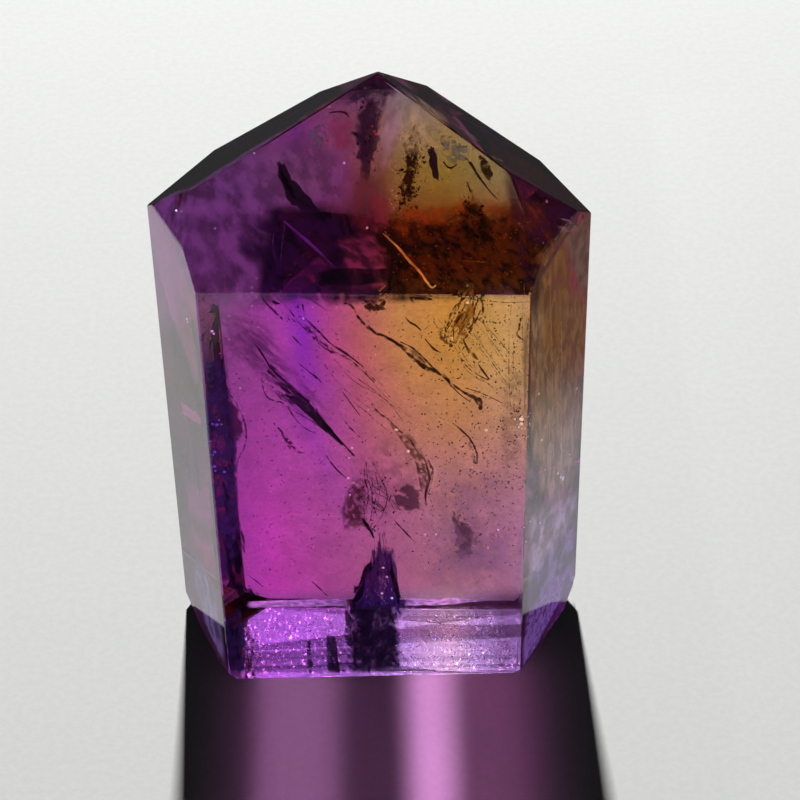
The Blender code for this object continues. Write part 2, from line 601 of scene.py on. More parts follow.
# Painted light: a finish with a glow gives off light in its own colour, in place of the light that reaches
# the inclusion through the stone.
looks = {
    "inkCrack": tornFilm((0.1, 0.02, 0.04), 0.86, 0.95, (0.25, 2, 45)),
    "violetCrack": tornFilm((0.09, 0.014, 0.15), 0.8, 0.9, (0.3, 2, 45)),
    "featherFilm": tornFilm((0.105, 0.014, 0.15), 0.72, 0.66, (0.2, 4, 42)),
    "duskVeil": veil((0.2, 0.06, 0.16), 0.18, 0.55, 0.1, (0.5, 1.8, 35), 0.14),
    "plumFilm": tornFilm((0.26, 0.05, 0.2), 0.62, 0.9, (0.6, 1.5, 20), 0.15),
    "mistVeil": veil((0.46, 0.3, 0.56), 0.299, 0.55, 0.35, (0.9, 1.5, 20), 0.5),
    # painted shade of the lower left strip and corner
    "indigoMist": veil((0.12, 0.06, 0.26), 0.85, 0.3, 0.3, (0.5, 2, 0), 0.32),
    "paleLine": tornFilm((0.8, 0.72, 0.95), 0.6, 1, (0.3, 1.5, 50), 0.6),
    # painted highlight lines above the foot and along the edges
    "roseFilm": veil((0.92, 0.42, 0.84), 0.88, 0.3, 0.8, (0.5, 0.5, 0), 0.9),
    "brownFilm": tornFilm((0.22, 0.055, 0.02), 0.85, 0.72, (0.3, 1.6, 20), 0.1),
    "umberVeil": veil((0.036, 0.01, 0.004), 0.88, 0.35, 0.35, (0.55, 1.3, -20), 0.25),
    "amberVeil": veil((0.27, 0.065, 0.01), 0.42, 0.35, 0, (0.4, 2, 35), 0.3),
    "emberVeil": veil((0.44, 0.095, 0.006), 0.64, 0.6, 0.45, (0.8, 1.2, 20), 0.6),
    "redMist": veil((0.36, 0.06, 0.055), 0.42, 0.7, 0.5, (0.7, 2, 0), 0.5),
    "nightVeil": veil((0.024, 0.005, 0.044), 0.82, 0.25, 0.6, (0.6, 6, 2), 0.15),
    # painted light in the right toe
    "violetMist": veil((0.38, 0.22, 0.45), 0.88, 0.3, 0.5, (0.35, 1.4, 20), 1.4),
    # painted reflection of the lit floor in the low side walls
    "paleMist": veil((0.44, 0.38, 0.5), 0.66, 0.45, 0.6, (0.9, 1.6, 10), 0.8),
    # painted shade of the dark point faces
    "plumShade": veil((0.04, 0.006, 0.055), 0.697, 0.3, 0.4, (0.6, 2, 40), 0.8),
    "plumStreak": veil((0.09, 0.03, 0.08), 0.66, 0.5, 0.35, (0.5, 2, 0), 0.5),
    "wingShade": veil((0.05, 0.016, 0.055), 0.92, 0.12, 0.85, (0.5, 2, 40), 0.4),
    "roseMist": veil((0.52, 0.095, 0.2), 0.5, 0.5, 0.4, (0.5, 2.2, 50), 0.7),
    "lilacMist": veil((0.54, 0.34, 0.46), 0.42, 0.6, 0.6, (0.8, 2.5, -10), 0.95),
    "sandMist": veil((0.6, 0.42, 0.26), 0.42, 0.6, 0.6, (0.8, 1.5, 0), 0.95),
    # painted light: glowing gold and fawn veils give the right wall its tone
    "goldVeil": veil((0.36, 0.18, 0.065), 0.74, 0.4, 0.65, (0.55, 4, 12), 0.6),
    "fawnVeil": veil((0.34, 0.22, 0.18), 0.72, 0.35, 0.6, (0.45, 4, 10), 0.75),
    # painted shade of the right wall's top corner
    "duskCorner": veil((0.28, 0.2, 0.33), 0.9, 0.25, 0.8, (0.8, 2, 30), 0.65),
    "violetVeil": veil((0.19, 0.04, 0.25), 0.29, 0.55, 0.05, (0.4, 4, 42), 0.15),
    "tanVeil": veil((0.26, 0.08, 0.055), 0.55, 0.35, 0.1, (0.3, 1.8, 15), 0.2),
    "goldFilm": tornFilm((0.62, 0.3, 0.06), 0.6, 0.7, (0.4, 1.5, 10), 0.45),
    "greyCloud": tornFilm((0.42, 0.36, 0.46), 0.65, 0.62, (0.4, 1.2, 0), 0.4),
    "purpleHaze": veil((0.46, 0.22, 0.47), 0.88, 0.5, 0.5, (0.9, 2, 20), 0.6),
    "indigoPlume": tornFilm((0.11, 0.03, 0.24), 0.72, 0.95, (0.3, 7, 4), 0.42),
    "plumeShade": tornFilm((0.02, 0.005, 0.045), 0.88, 0.88, (0.3, 7, 4), 0.1),
    "violetNeedle": tornFilm((0.36, 0.08, 0.5), 0.85, 0.95, (0.5, 4, 45), 0.55),
    "goldNeedle": tornFilm((0.95, 0.5, 0.24), 0.9, 1, (0.3, 3, 45), 0.6),
    "brownGrain": solidGrain((0.06, 0.018, 0.008), 0.05),
    "inkGrain": solidGrain((0.03, 0.004, 0.03)),
    "amberGrain": solidGrain((0.55, 0.17, 0.02), 0.35),
    # painted glints: the spark grains and flecks give off light
    "paleSpark": solidGrain((0.95, 0.8, 1), 1.3),
    "violetSpark": solidGrain((0.4, 0.22, 1), 0.7),
    "redSpark": solidGrain((1, 0.05, 0.12), 0.9),
}


def coverOf(material, look, wisps):
    # thin towards the rim, where the body attribute falls to 0
    body = addNode(material, "Attribute", attribute_name="body").outputs["Fac"]
    if "fade" in look:
        faded = rise(material, body, 0.0, look["fade"], 0.0, look["cover"])
        clouded = rise(material, wisps, 0.36, 0.62, look["cloud"], 1.0)
        return math2(material, "MULTIPLY", faded, clouded)
    thinned = math2(material, "ADD", wisps, rise(material, body, 0.0, 0.7, -0.30, 0.0))
    edge = 0.66 - 0.34 * look["fill"]
    return rise(material, thinned, edge - 0.06, edge + 0.10, 0.0, look["cover"])


def inclusionLook(name):
    look = looks[name]
    size, stretch, lie = look["wisps"]
    material = newMaterial(name)
    where = addNode(material, "TexCoord").outputs["Object"]
    turned = addNode(material, "Mapping", {"Vector": where, "Rotation": (0, math.radians(lie), 0)}).outputs[0]
    lengthened = addNode(material, "Mapping", {"Vector": turned, "Scale": (1, 1, 1 / stretch)}).outputs[0]
    wisps = addNoise(material, lengthened, size, 4.0).outputs["Fac"]
    dull = [channel * inclusions["dull"] for channel in look["colour"]]
    colour = blendColours(material, rise(material, wisps, 0.35, 0.65), (*dull, 1), (*look["colour"], 1))
    sockets = {"Base Color": colour, "Roughness": rise(material, wisps, 0.3, 0.7, 0.35, 0.75)}
    if "cover" in look:
        sockets["Alpha"] = coverOf(material, look, wisps)
    # painted light: the inclusion shines by itself in its own colour
    if look["glow"] > 0:
        sockets["Emission Color"] = colour
        sockets["Emission Strength"] = look["glow"]
    return finishMaterial(material, sockets)


finishes = {name: inclusionLook(name) for name in looks}

# cracks, flakes and needles: face, depth at both ends, flatness, and spots with their widths in mm
blades = {
    "inkCrack": {
        "longCrack": ("front", (0.3, 0.42), 0.25, [
            (-1.58, 34.4, 0.2), (-1.16, 34.1, 0.26), (-0.82, 33.2, 0.2), (0, 32.1, 0.3), (0.72, 31.6, 0.26),
            (1.68, 30.8, 0.28), (2.45, 29.8, 0.34), (3.2, 28.95, 0.42), (4.1, 28.4, 0.34),
            (4.85, 27.5, 0.2), (5.6, 26.7, 0.2), (6.2, 26.3, 0.4), (6.52, 25.9, 0.66), (6.65, 25.3, 0.22)]),
        "longCrackTop": ("front", (0.32, 0.38), 0.3, [
            (1.7, 31.1, 0.08), (2.41, 30.6, 0.14), (3, 29.9, 0.18), (3.62, 29, 0.13), (4.1, 28.4, 0.1)]),
        "longCrackTail": ("front", (0.42, 0.55), 0.5, [
            (5.71, 27.1, 0.09), (6.46, 26.75, 0.1), (7.2, 26.3, 0.09), (7.96, 25.75, 0.06)]),
        "longCrackTwin": ("front", (0.38, 0.46), 0.5, [
            (4.3, 28.1, 0.06), (4.9, 27.2, 0.1), (5.4, 26.5, 0.1), (5.9, 26, 0.06)]),
        "flake": ("front", (0.22, 0.34), 0.3, [
            (-6.29, 24.4, 0.1), (-5.95, 23.8, 0.18), (-5.66, 23.1, 0.42), (-5.32, 22.4, 0.6),
            (-4.96, 21.9, 0.25), (-4.58, 21.75, 0.09)]),
        "bentNeedle": ("front", (0.2, 0.35), 0.6, [
            (4.9, 24.1, 0.07), (5.34, 23.55, 0.17), (5.85, 22.9, 0.14), (6.17, 22.2, 0.13),
            (6.42, 21.2, 0.2), (6.43, 20.5, 0.12)]),
        "redThread": ("front", (0.5, 0.55), 0.6, [
            (-3.14, 21.5, 0.05), (-2.78, 20.7, 0.13), (-2.3, 19.9, 0.12), (-1.93, 19.4, 0.06)]),
        "lowThread": ("front", (0.35, 0.45), 0.6, [
            (1.07, 15.45, 0.06), (1.45, 14.8, 0.14), (1.9, 14.1, 0.14), (2.41, 13.3, 0.06)]),
        "lowStreak": ("front", (0.4, 0.42), 0.5, [
            (-8.59, 10.4, 0.05), (-8.15, 9.9, 0.13), (-7.72, 9.3, 0.05)]),
        "lowStreakRight": ("front", (0.6, 0.62), 0.5, [
            (-4.45, 9.7, 0.05), (-3.95, 9, 0.12), (-3.44, 8.2, 0.06)]),
        "topFeather": ("front", (0.25, 0.3), 0.4, [
            (-6.53, 35, 0.09), (-6.2, 34.3, 0.13), (-5.75, 33.7, 0.22), (-5.41, 33.2, 0.12)]),
        "topBlob": ("front", (0.35, 0.36), 0.4, [
            (-5.95, 34.65, 0.12), (-5.71, 34.5, 0.28), (-5.48, 34.4, 0.06)]),
        "upperDash": ("front", (0.45, 0.46), 0.5, [
            (-4.87, 31.8, 0.05), (-4.58, 31.35, 0.13), (-4.35, 31, 0.05)]),
        "middleDash": ("front", (0.3, 0.36), 0.5, [
            (-4.47, 29.4, 0.05), (-3.89, 28.7, 0.07), (-3.41, 28.15, 0.2), (-3.18, 27.8, 0.05)]),
        "fineDash": ("front", (0.6, 0.65), 0.5, [
            (-2.08, 27.3, 0.04), (-1.49, 26.1, 0.08), (-0.9, 24.9, 0.05)]),
        "lowerDash": ("front", (0.6, 0.65), 0.5, [
            (-1.85, 24.4, 0.05), (-1.43, 23.7, 0.12), (-0.95, 23.05, 0.05)]),
        "netLow": ("front", (0.4, 0.4), 0.6, [
            (-1, 15.7, 0.1), (-0.75, 15.1, 0.32), (-0.5, 14.55, 0.25), (-0.26, 13.8, 0.1)]),
        "wing": ("point", (0.06, 0.1), 0.25, [
            (-5.3, 41.5, 0.16), (-5.06, 40.85, 0.34), (-4.66, 40.2, 0.44), (-4.1, 39.65, 0.44),
            (-3.6, 39.3, 0.3), (-3, 38.9, 0.08)]),
        "darkNeedle": ("point", (0.25, 0.4), 0.6, [
            (5.84, 41.3, 0.14), (6.13, 41.05, 0.22), (6.48, 40.55, 0.16), (6.95, 40, 0.13),
            (7.65, 39.3, 0.05)]),
        "curlHigh": ("point", (0.3, 0.3), 0.6, [
            (-2.25, 43.75, 0.06), (-1.72, 43.8, 0.09), (-1.24, 43.7, 0.18), (-1.07, 43.5, 0.06)]),
        "curlLeft": ("point", (0.3, 0.3), 0.6, [
            (-8.47, 40.8, 0.06), (-8.06, 40.6, 0.13), (-7.71, 40.5, 0.15), (-7.42, 40.25, 0.06)]),
        "curlSmall": ("point", (0.4, 0.4), 0.6, [
            (-3.74, 41.7, 0.05), (-3.58, 41.3, 0.13), (-3.35, 40.9, 0.05)]),
        "tipFlake": ("point", (0.35, 0.35), 0.3, [
            (-0.91, 42.8, 0.12), (-0.44, 42.55, 0.4), (-0.22, 42, 0.3), (-0.47, 41.55, 0.12)]),
        "cloudEdge": ("point", (0.3, 0.3), 0.5, [
            (4.47, 41.2, 0.06), (4.88, 40.9, 0.14), (5.3, 41.05, 0.06)]),
        "underFlake": ("point", (0.45, 0.45), 0.5, [
            (4.58, 38.3, 0.09), (5.18, 38.6, 0.2), (5.79, 38.8, 0.24), (6.39, 39.1, 0.15)]),
    },
    "featherFilm": {
        "featherLoop": ("front", (0.28, 0.4), 0.5, [
            (-6.83, 28.8, 0.07), (-6.83, 27.5, 0.13), (-6.45, 26.5, 0.14), (-5.6, 26.1, 0.14),
            (-5.02, 24.9, 0.14), (-4.43, 24, 0.12), (-3.7, 23.4, 0.07)]),
        "lensRim": ("front", (0.16, 0.3), 0.5, [
            (-9.28, 28.9, 0.06), (-8.95, 27.2, 0.12), (-8.36, 25.6, 0.14), (-8.07, 23.9, 0.14),
            (-8.28, 22.3, 0.14), (-8.72, 21.2, 0.14), (-8.94, 19.6, 0.1), (-8.92, 17.6, 0.06)]),
        "lowSmudge": ("front", (0.5, 0.6), 0.3, [
            (-6.37, 12.7, 0.12), (-6.06, 12.4, 0.4), (-5.62, 11.8, 0.3), (-5.4, 10.9, 0.19),
            (-4.97, 9.9, 0.06)]),
        "plumeLeft": ("front", (0.5, 0.6), 0.3, [
            (0.02, 14.7, 0.06), (-0.01, 13.1, 0.17), (-0.58, 10.9, 0.18), (-1.16, 8.6, 0.22),
            (-1.54, 7, 0.25)]),
        "plumeRight": ("front", (0.5, 0.6), 0.3, [
            (0.4, 14.3, 0.06), (0.7, 12.8, 0.25), (1.01, 11.6, 0.28), (1.11, 9.7, 0.22),
            (1.15, 7.3, 0.19)]),
        "footColumnLeft": ("front", (0.2, 0.2), 0.3, [
            (-4.86, 3.9, 0.19), (-4.91, 2.6, 0.38), (-4.89, 1.4, 0.44), (-4.86, 0.4, 0.25)]),
        "footColumnRight": ("front", (0.2, 0.2), 0.3, [
            (-3.6, 3.3, 0.25), (-3.29, 2.3, 0.56), (-3.12, 1.1, 0.56), (-3.01, 0.4, 0.25)]),
        "footFlake": ("front", (0.2, 0.2), 0.3, [
            (-2.34, 7, 0.19), (-2.11, 5.6, 0.5), (-2.28, 4.2, 0.56), (-1.98, 3, 0.19)]),
    },
    "brownFilm": {
        "triangleEdge": ("front", (0.35, 0.42), 0.3, [
            (5.51, 34.6, 0.15), (5.15, 33.8, 0.36), (4.79, 33.1, 0.5), (4.37, 32.5, 0.2),
            (4.18, 31.8, 0.36), (4.48, 31, 0.46), (4.85, 30.7, 0.19)]),
        "triangleRight": ("front", (0.35, 0.42), 0.4, [
            (6.59, 34.6, 0.15), (6.72, 33.7, 0.25), (6.73, 32.75, 0.15), (7.04, 31.8, 0.2),
            (7.28, 31.3, 0.12)]),
        "hookMiddle": ("front", (0.4, 0.42), 0.5, [
            (5.52, 31.3, 0.1), (5.76, 30.5, 0.2), (6.2, 29.8, 0.32), (6.44, 29.5, 0.12)]),
        "hookLow": ("front", (0.45, 0.5), 0.5, [
            (5.34, 29.65, 0.14), (5.71, 29, 0.1), (6.33, 28.3, 0.1), (7.07, 27.75, 0.08)]),
        "hookRight": ("front", (0.45, 0.45), 0.5, [
            (6.44, 29.1, 0.1), (6.82, 28.4, 0.2), (7.13, 27.8, 0.08)]),
        "shortCrack": ("front", (0.3, 0.3), 0.5, [
            (2.07, 33.1, 0.1), (2.31, 32.7, 0.2), (2.67, 32.4, 0.15), (2.97, 32, 0.06)]),
        "shortCrackLow": ("front", (0.35, 0.35), 0.5, [
            (3.21, 31.3, 0.06), (3.51, 30.8, 0.1), (3.75, 30.45, 0.2), (4.18, 30.1, 0.06)]),
        "arc": ("front", (0.3, 0.45), 0.5, [
            (-0.13, 25.9, 0.1), (0.23, 25.2, 0.2), (0.78, 24.6, 0.2), (1.33, 23.8, 0.26),
            (1.82, 23.2, 0.16), (2.26, 22.6, 0.2), (2.56, 21.8, 0.16), (2.75, 21.1, 0.12)]),
        "rightMarks": ("front", (0.3, 0.3), 0.5, [
            (9.02, 32.85, 0.1), (8.92, 32, 0.2), (8.87, 31.4, 0.2), (9.24, 31, 0.06)]),
        "lowBar": ("front", (0.2, 0.2), 0.5, [
            (2.33, 34.75, 0.12), (2.81, 34.65, 0.28), (3.41, 34.55, 0.28), (3.71, 34.5, 0.12)]),
        "thinLoop": ("point", (0.4, 0.4), 0.6, [(5.88, 40.2, 0.06), (6.1, 39.7, 0.15), (6.28, 39.3, 0.06)]),
        "needleFeather": ("point", (0.3, 0.3), 0.3, [
            (6.68, 41.4, 0.24), (6.91, 41, 0.66), (7.14, 40.5, 0.66), (7.25, 40.15, 0.18)]),
    },
    "plumFilm": {
        "longCrackLens": ("front", (0.34, 0.38), 0.15, [
            (1.68, 30.9, 0.1), (2.45, 30.25, 0.6), (3.15, 29.4, 0.6), (3.9, 28.6, 0.1)]),
        "bentFilm": ("front", (0.24, 0.3), 0.3, [
            (5.97, 22.6, 0.25), (5.91, 21.9, 0.62), (6.11, 21.15, 0.62), (6.3, 20.5, 0.19)]),
        "darkFlake": ("point", (0.3, 0.4), 0.3, [
            (3.77, 41.95, 0.12), (3.94, 41.5, 0.54), (3.87, 41, 0.6), (4.03, 40.55, 0.54),
            (4.09, 40.3, 0.12)]),
    },
    "violetNeedle": {
        "violetNeedle": ("point", (0.04, 0.08), 0.5, [
            (-5.09, 38.7, 0.1), (-4.16, 38, 0.19), (-3.17, 37.25, 0.2), (-2.41, 36.6, 0.14),
            (-1.65, 35.95, 0.07)]),
        "violetForkLeft": ("point", (0.08, 0.1), 0.6, [
            (-5.7, 38.3, 0.06), (-5.78, 37.6, 0.11), (-5.68, 36.95, 0.11), (-5.46, 36.35, 0.06)]),
        "violetForkRight": ("point", (0.08, 0.1), 0.6, [
            (-5.03, 38.65, 0.06), (-5.18, 37.9, 0.12), (-5.32, 37, 0.11), (-5.34, 36.45, 0.05)]),
        "violetThread": ("point", (0.3, 0.3), 0.6, [
            (-3.8, 36, 0.06), (-3.22, 35.6, 0.11), (-2.63, 35.2, 0.06)]),
    },
    "goldNeedle": {
        "goldNeedle": ("point", (0.03, 0.04), 0.6, [
            (0.8, 37.9, 0.08), (1.56, 37.3, 0.13), (2.38, 36.5, 0.16), (3.02, 35.9, 0.13),
            (3.43, 35.4, 0.15), (3.7, 35.2, 0.11), (3.9, 35.3, 0.05)]),
        "goldFork": ("point", (0.2, 0.2), 0.6, [(0.92, 38, 0.06), (1.09, 37.7, 0.11), (1.26, 37.2, 0.06)]),
        "goldThread": ("point", (0.2, 0.2), 0.6, [
            (0.48, 35.1, 0.06), (0.73, 35.3, 0.14), (1.03, 35.5, 0.06)]),
    },
    "goldFilm": {
        "goldPatch": ("point", (0.3, 0.3), 0.3, [
            (1.35, 36, 0.08), (1.82, 35.9, 0.22), (2.3, 35.8, 0.18), (2.53, 35.5, 0.08)]),
        "goldFlake": ("point", (0.42, 0.42), 0.15, [
            (4.58, 38.45, 0.18), (5.19, 38.8, 0.66), (5.73, 39.1, 0.78), (6.34, 39.35, 0.3)]),
        "yellowPatch": ("point", (0.3, 0.3), 0.4, [
            (9.64, 36.95, 0.18), (9.94, 36.8, 0.54), (10.3, 36.6, 0.18)]),
        "wallGlintHigh": ("frontRight", (0.03, 0.05), 0.5, [
            (11.27, 32.3, 0.1), (11.03, 30.9, 0.16), (10.86, 29.5, 0.06)]),
        "wallGlintLong": ("frontRight", (0.03, 0.05), 0.5, [
            (11.92, 28.6, 0.05), (11.7, 26.6, 0.16), (11.54, 25, 0.05)]),
        "wallGlintSide": ("frontRight", (0.03, 0.05), 0.5, [
            (12.44, 27.8, 0.05), (12.3, 25.5, 0.14), (12.16, 22.9, 0.05)]),
        "wallGlintEdge": ("frontRight", (0.03, 0.05), 0.5, [
            (10.39, 29.2, 0.05), (10.71, 27.2, 0.14), (11.19, 24.7, 0.05)]),
        "wallGlintLow": ("frontRight", (0.03, 0.05), 0.5, [
            (11.6, 22.6, 0.06), (11.78, 21.4, 0.26), (12.04, 19.9, 0.1)]),
        "wallGlintMiddle": ("frontRight", (0.03, 0.05), 0.5, [
            (10.86, 29.7, 0.05), (11.25, 27.8, 0.16), (11.51, 25.9, 0.05)]),
        "wallGlintDeep": ("frontRight", (0.03, 0.05), 0.5, [
            (12.34, 21.9, 0.05), (12.11, 19.7, 0.14), (12.04, 17.3, 0.05)]),
        "yellowPatchLeft": ("point", (0.4, 0.4), 0.4, [
            (3.42, 37.45, 0.18), (3.72, 37.3, 0.5), (4.07, 37.1, 0.18)]),
    },
}

# bundles of fine strands: face, depths, path with the width of the bundle, how many, and their own width
bundles = {
    "violetCrack": {
        "upperCrack": ("front", (0.25, 0.5), [
            (-4.42, 35.2, 0.35), (-4.22, 34.3, 0.35), (-4.14, 33.3, 0.45), (-3.86, 32.65, 0.6),
            (-3.28, 31.9, 0.5), (-2.59, 30.9, 0.45), (-2.11, 30.5, 0.4), (-1.4, 29.8, 0.35),
            (-0.68, 29, 0.35), (0.16, 28.1, 0.3)], 9, 0.16),
        "lowerCrack": ("front", (0.25, 0.5), [
            (-4.4, 32.9, 0.3), (-3.88, 32.1, 0.35), (-3.36, 31.4, 0.3), (-2.84, 30.7, 0.25),
            (-2.18, 30.2, 0.4), (-1.64, 30, 0.35), (-0.92, 29.2, 0.3), (0.03, 27.8, 0.2)], 5, 0.12),
        "upperLeft": ("front", (0.2, 0.35), [
            (-5.6, 35, 0.8), (-4.9, 34, 1.1), (-4.4, 33, 0.8), (-3.9, 32.2, 0.5)], 7, 0.09),
    },
    "featherFilm": {
        "feather": ("front", (0.3, 0.5), [
            (-7.53, 31.9, 0.3), (-6.99, 30.5, 0.55), (-6.45, 29, 0.8), (-5.77, 27.7, 1.1),
            (-5.07, 26.75, 1.3), (-4.36, 25.85, 1.3), (-3.54, 24.6, 0.75), (-2.82, 23.55, 0.35),
            (-2.04, 22.4, 0.2), (-1.37, 21.4, 0.12)], 26, 0.15),
        "featherHeart": ("front", (0.36, 0.46), [
            (-5.6, 26.8, 0.25), (-4.9, 26.3, 0.55), (-4.2, 25.6, 0.65), (-3.5, 24.7, 0.42),
            (-2.7, 23.5, 0.15)], 9, 0.22),
        "plume": ("front", (0.55, 0.45), [
            (0.2, 14.2, 0.3), (0.25, 12.4, 0.8), (0.15, 10.6, 1.4), (0, 8.6, 2),
            (-0.2, 6.6, 2.6)], 12, 0.1),
        "plumeFoot": ("front", (0.3, 0.3), [
            (-0.2, 6.4, 2.6), (-0.3, 4.6, 2.8), (-0.5, 2.8, 3), (-0.6, 0.3, 3)], 6, 0.12),
        "lensStrands": ("front", (0.18, 0.3), [
            (-9.13, 29.4, 0.3), (-8.92, 27.8, 0.6), (-8.58, 26.2, 0.9), (-8.55, 24.3, 1.1),
            (-8.71, 22.6, 1), (-9.05, 21.1, 0.6)], 6, 0.08),
    },
    "inkCrack": {
        "net": ("front", (0.4, 0.5), [
            (-0.5, 20.8, 0.7), (-0.4, 19.4, 1.5), (-0.2, 17.8, 1.8), (-0.4, 16.2, 1.4),
            (-0.6, 14.8, 0.8)], 12, 0.07),
        "crossNet": ("front", (0.4, 0.5), [
            (-1.2, 18.9, 1.6), (-0.4, 18, 2), (0.4, 17.2, 1.8), (1, 16.2, 1.2)], 9, 0.06),
        "rightThreads": ("front", (0.3, 0.6), [
            (4.8, 33.4, 2.4), (6, 31.4, 3), (7.2, 29.4, 3), (8.3, 27.4, 2)], 12, 0.05),
        "middleThreads": ("front", (0.4, 0.7), [
            (-2.6, 29.6, 2.5), (-1.2, 27.8, 3), (0.2, 26, 3), (1.6, 24.2, 2.4)], 9, 0.05),
        "pointThreads": ("point", (0.3, 0.5), [
            (-6.8, 40.4, 2), (-5.4, 39, 3), (-3.8, 37.8, 3), (-2.2, 36.6, 2)], 4, 0.05),
    },
    "brownFilm": {
        "arcLow": ("front", (0.45, 0.5), [
            (2.69, 21.5, 0.3), (3.06, 20.8, 0.6), (3.31, 19.9, 0.6), (3.37, 19.1, 0.5), (3.1, 17.8, 0.5),
            (3.16, 16.7, 0.3)], 7, 0.16),
        "triangle": ("front", (0.38, 0.44), [
            (6.2, 34.7, 1.3), (6, 33.8, 1.7), (5.6, 32.8, 1.8), (5.2, 31.8, 1.5),
            (5, 30.9, 0.9)], 15, 0.18),
        "pointSwirls": ("point", (0.25, 0.45), [
            (2, 37.9, 1.6), (4, 37.3, 2.2), (6, 36.8, 2.2), (8, 36.4, 1.8), (9.6, 36.2, 1.2)], 7, 0.1),
    },
    "goldFilm": {
        "pointGlints": ("point", (0.06, 0.12), [
            (1.6, 38, 1.2), (3.6, 37.2, 2.2), (5.6, 36.8, 2.4), (7.6, 36.5, 2.2),
            (9.6, 36.4, 1.4)], 9, 0.05),
        "rightWallGlints": ("front", (0.75, 0.9), [
            (9, 34, 1.4), (9.2, 31, 1.8), (9.2, 28, 1.8), (9.2, 25, 1.4)], 8, 0.08),
    },
    "amberVeil": {
        "rightWall": ("frontRight", (0.05, 0.2), [
            (11, 36.6, 1.6), (11.3, 31, 2.2), (11.6, 25, 2.2), (11.9, 19, 1.8), (12, 15, 1.2)], 16, 0.1),
    },
    "paleLine": {
        "leftTopScratches": ("point", (0.02, 0.03), [
            (-11.4, 40.2, 0.3), (-8, 41.8, 0.3), (-4.6, 43.4, 0.3), (-1.2, 44.9, 0.3)], 5, 0.035),
        # painted highlight: pale glowing lines along the ridge of the point
        "paintedRidgeHighlight": ("point", (0.01, 0.01), [
            (0.8, 45.3, 0.12), (1.2, 45.1, 0.12), (1.7, 44.8, 0.12), (2.2, 44.5, 0.1)], 4, 0.05),
        "rightWallLines": ("frontRight", (0.03, 0.08), [
            (11.2, 34, 1.6), (11.6, 27, 2.4), (11.9, 19, 2.4), (12, 11, 1.6)], 4, 0.035),
        "leftWallLines": ("frontLeft", (0.03, 0.08), [
            (-12.6, 32, 1), (-12.4, 25, 1.2), (-12.2, 17, 1.2), (-12, 11, 1)], 4, 0.03),
    },
    "violetNeedle": {
        "pinkCurls": ("point", (0.2, 0.35), [
            (-2.6, 37.4, 1.4), (-1.4, 36.8, 1.6), (-0.6, 36.2, 1.2), (0.4, 35.8, 0.8)], 5, 0.06),
    },
}
for lookName in sorted(set(blades) | set(bundles)):
    grown = []
    for face, depths, flatness, path in blades.get(lookName, {}).values():
        share, most = inclusions["bladeRagged"]
        widest = max(width for across, height, width in path)
        grown.append(growBlade(face, depths, path, flatness, share * min(widest, most)))
    for face, depths, path, count, width in bundles.get(lookName, {}).values():
        grown += growStrands(face, depths, path, count, width)
    finishInclusion(joinPieces(grown, lookName + "s"), finishes[lookName])
print("cracks, flakes and needles grown")

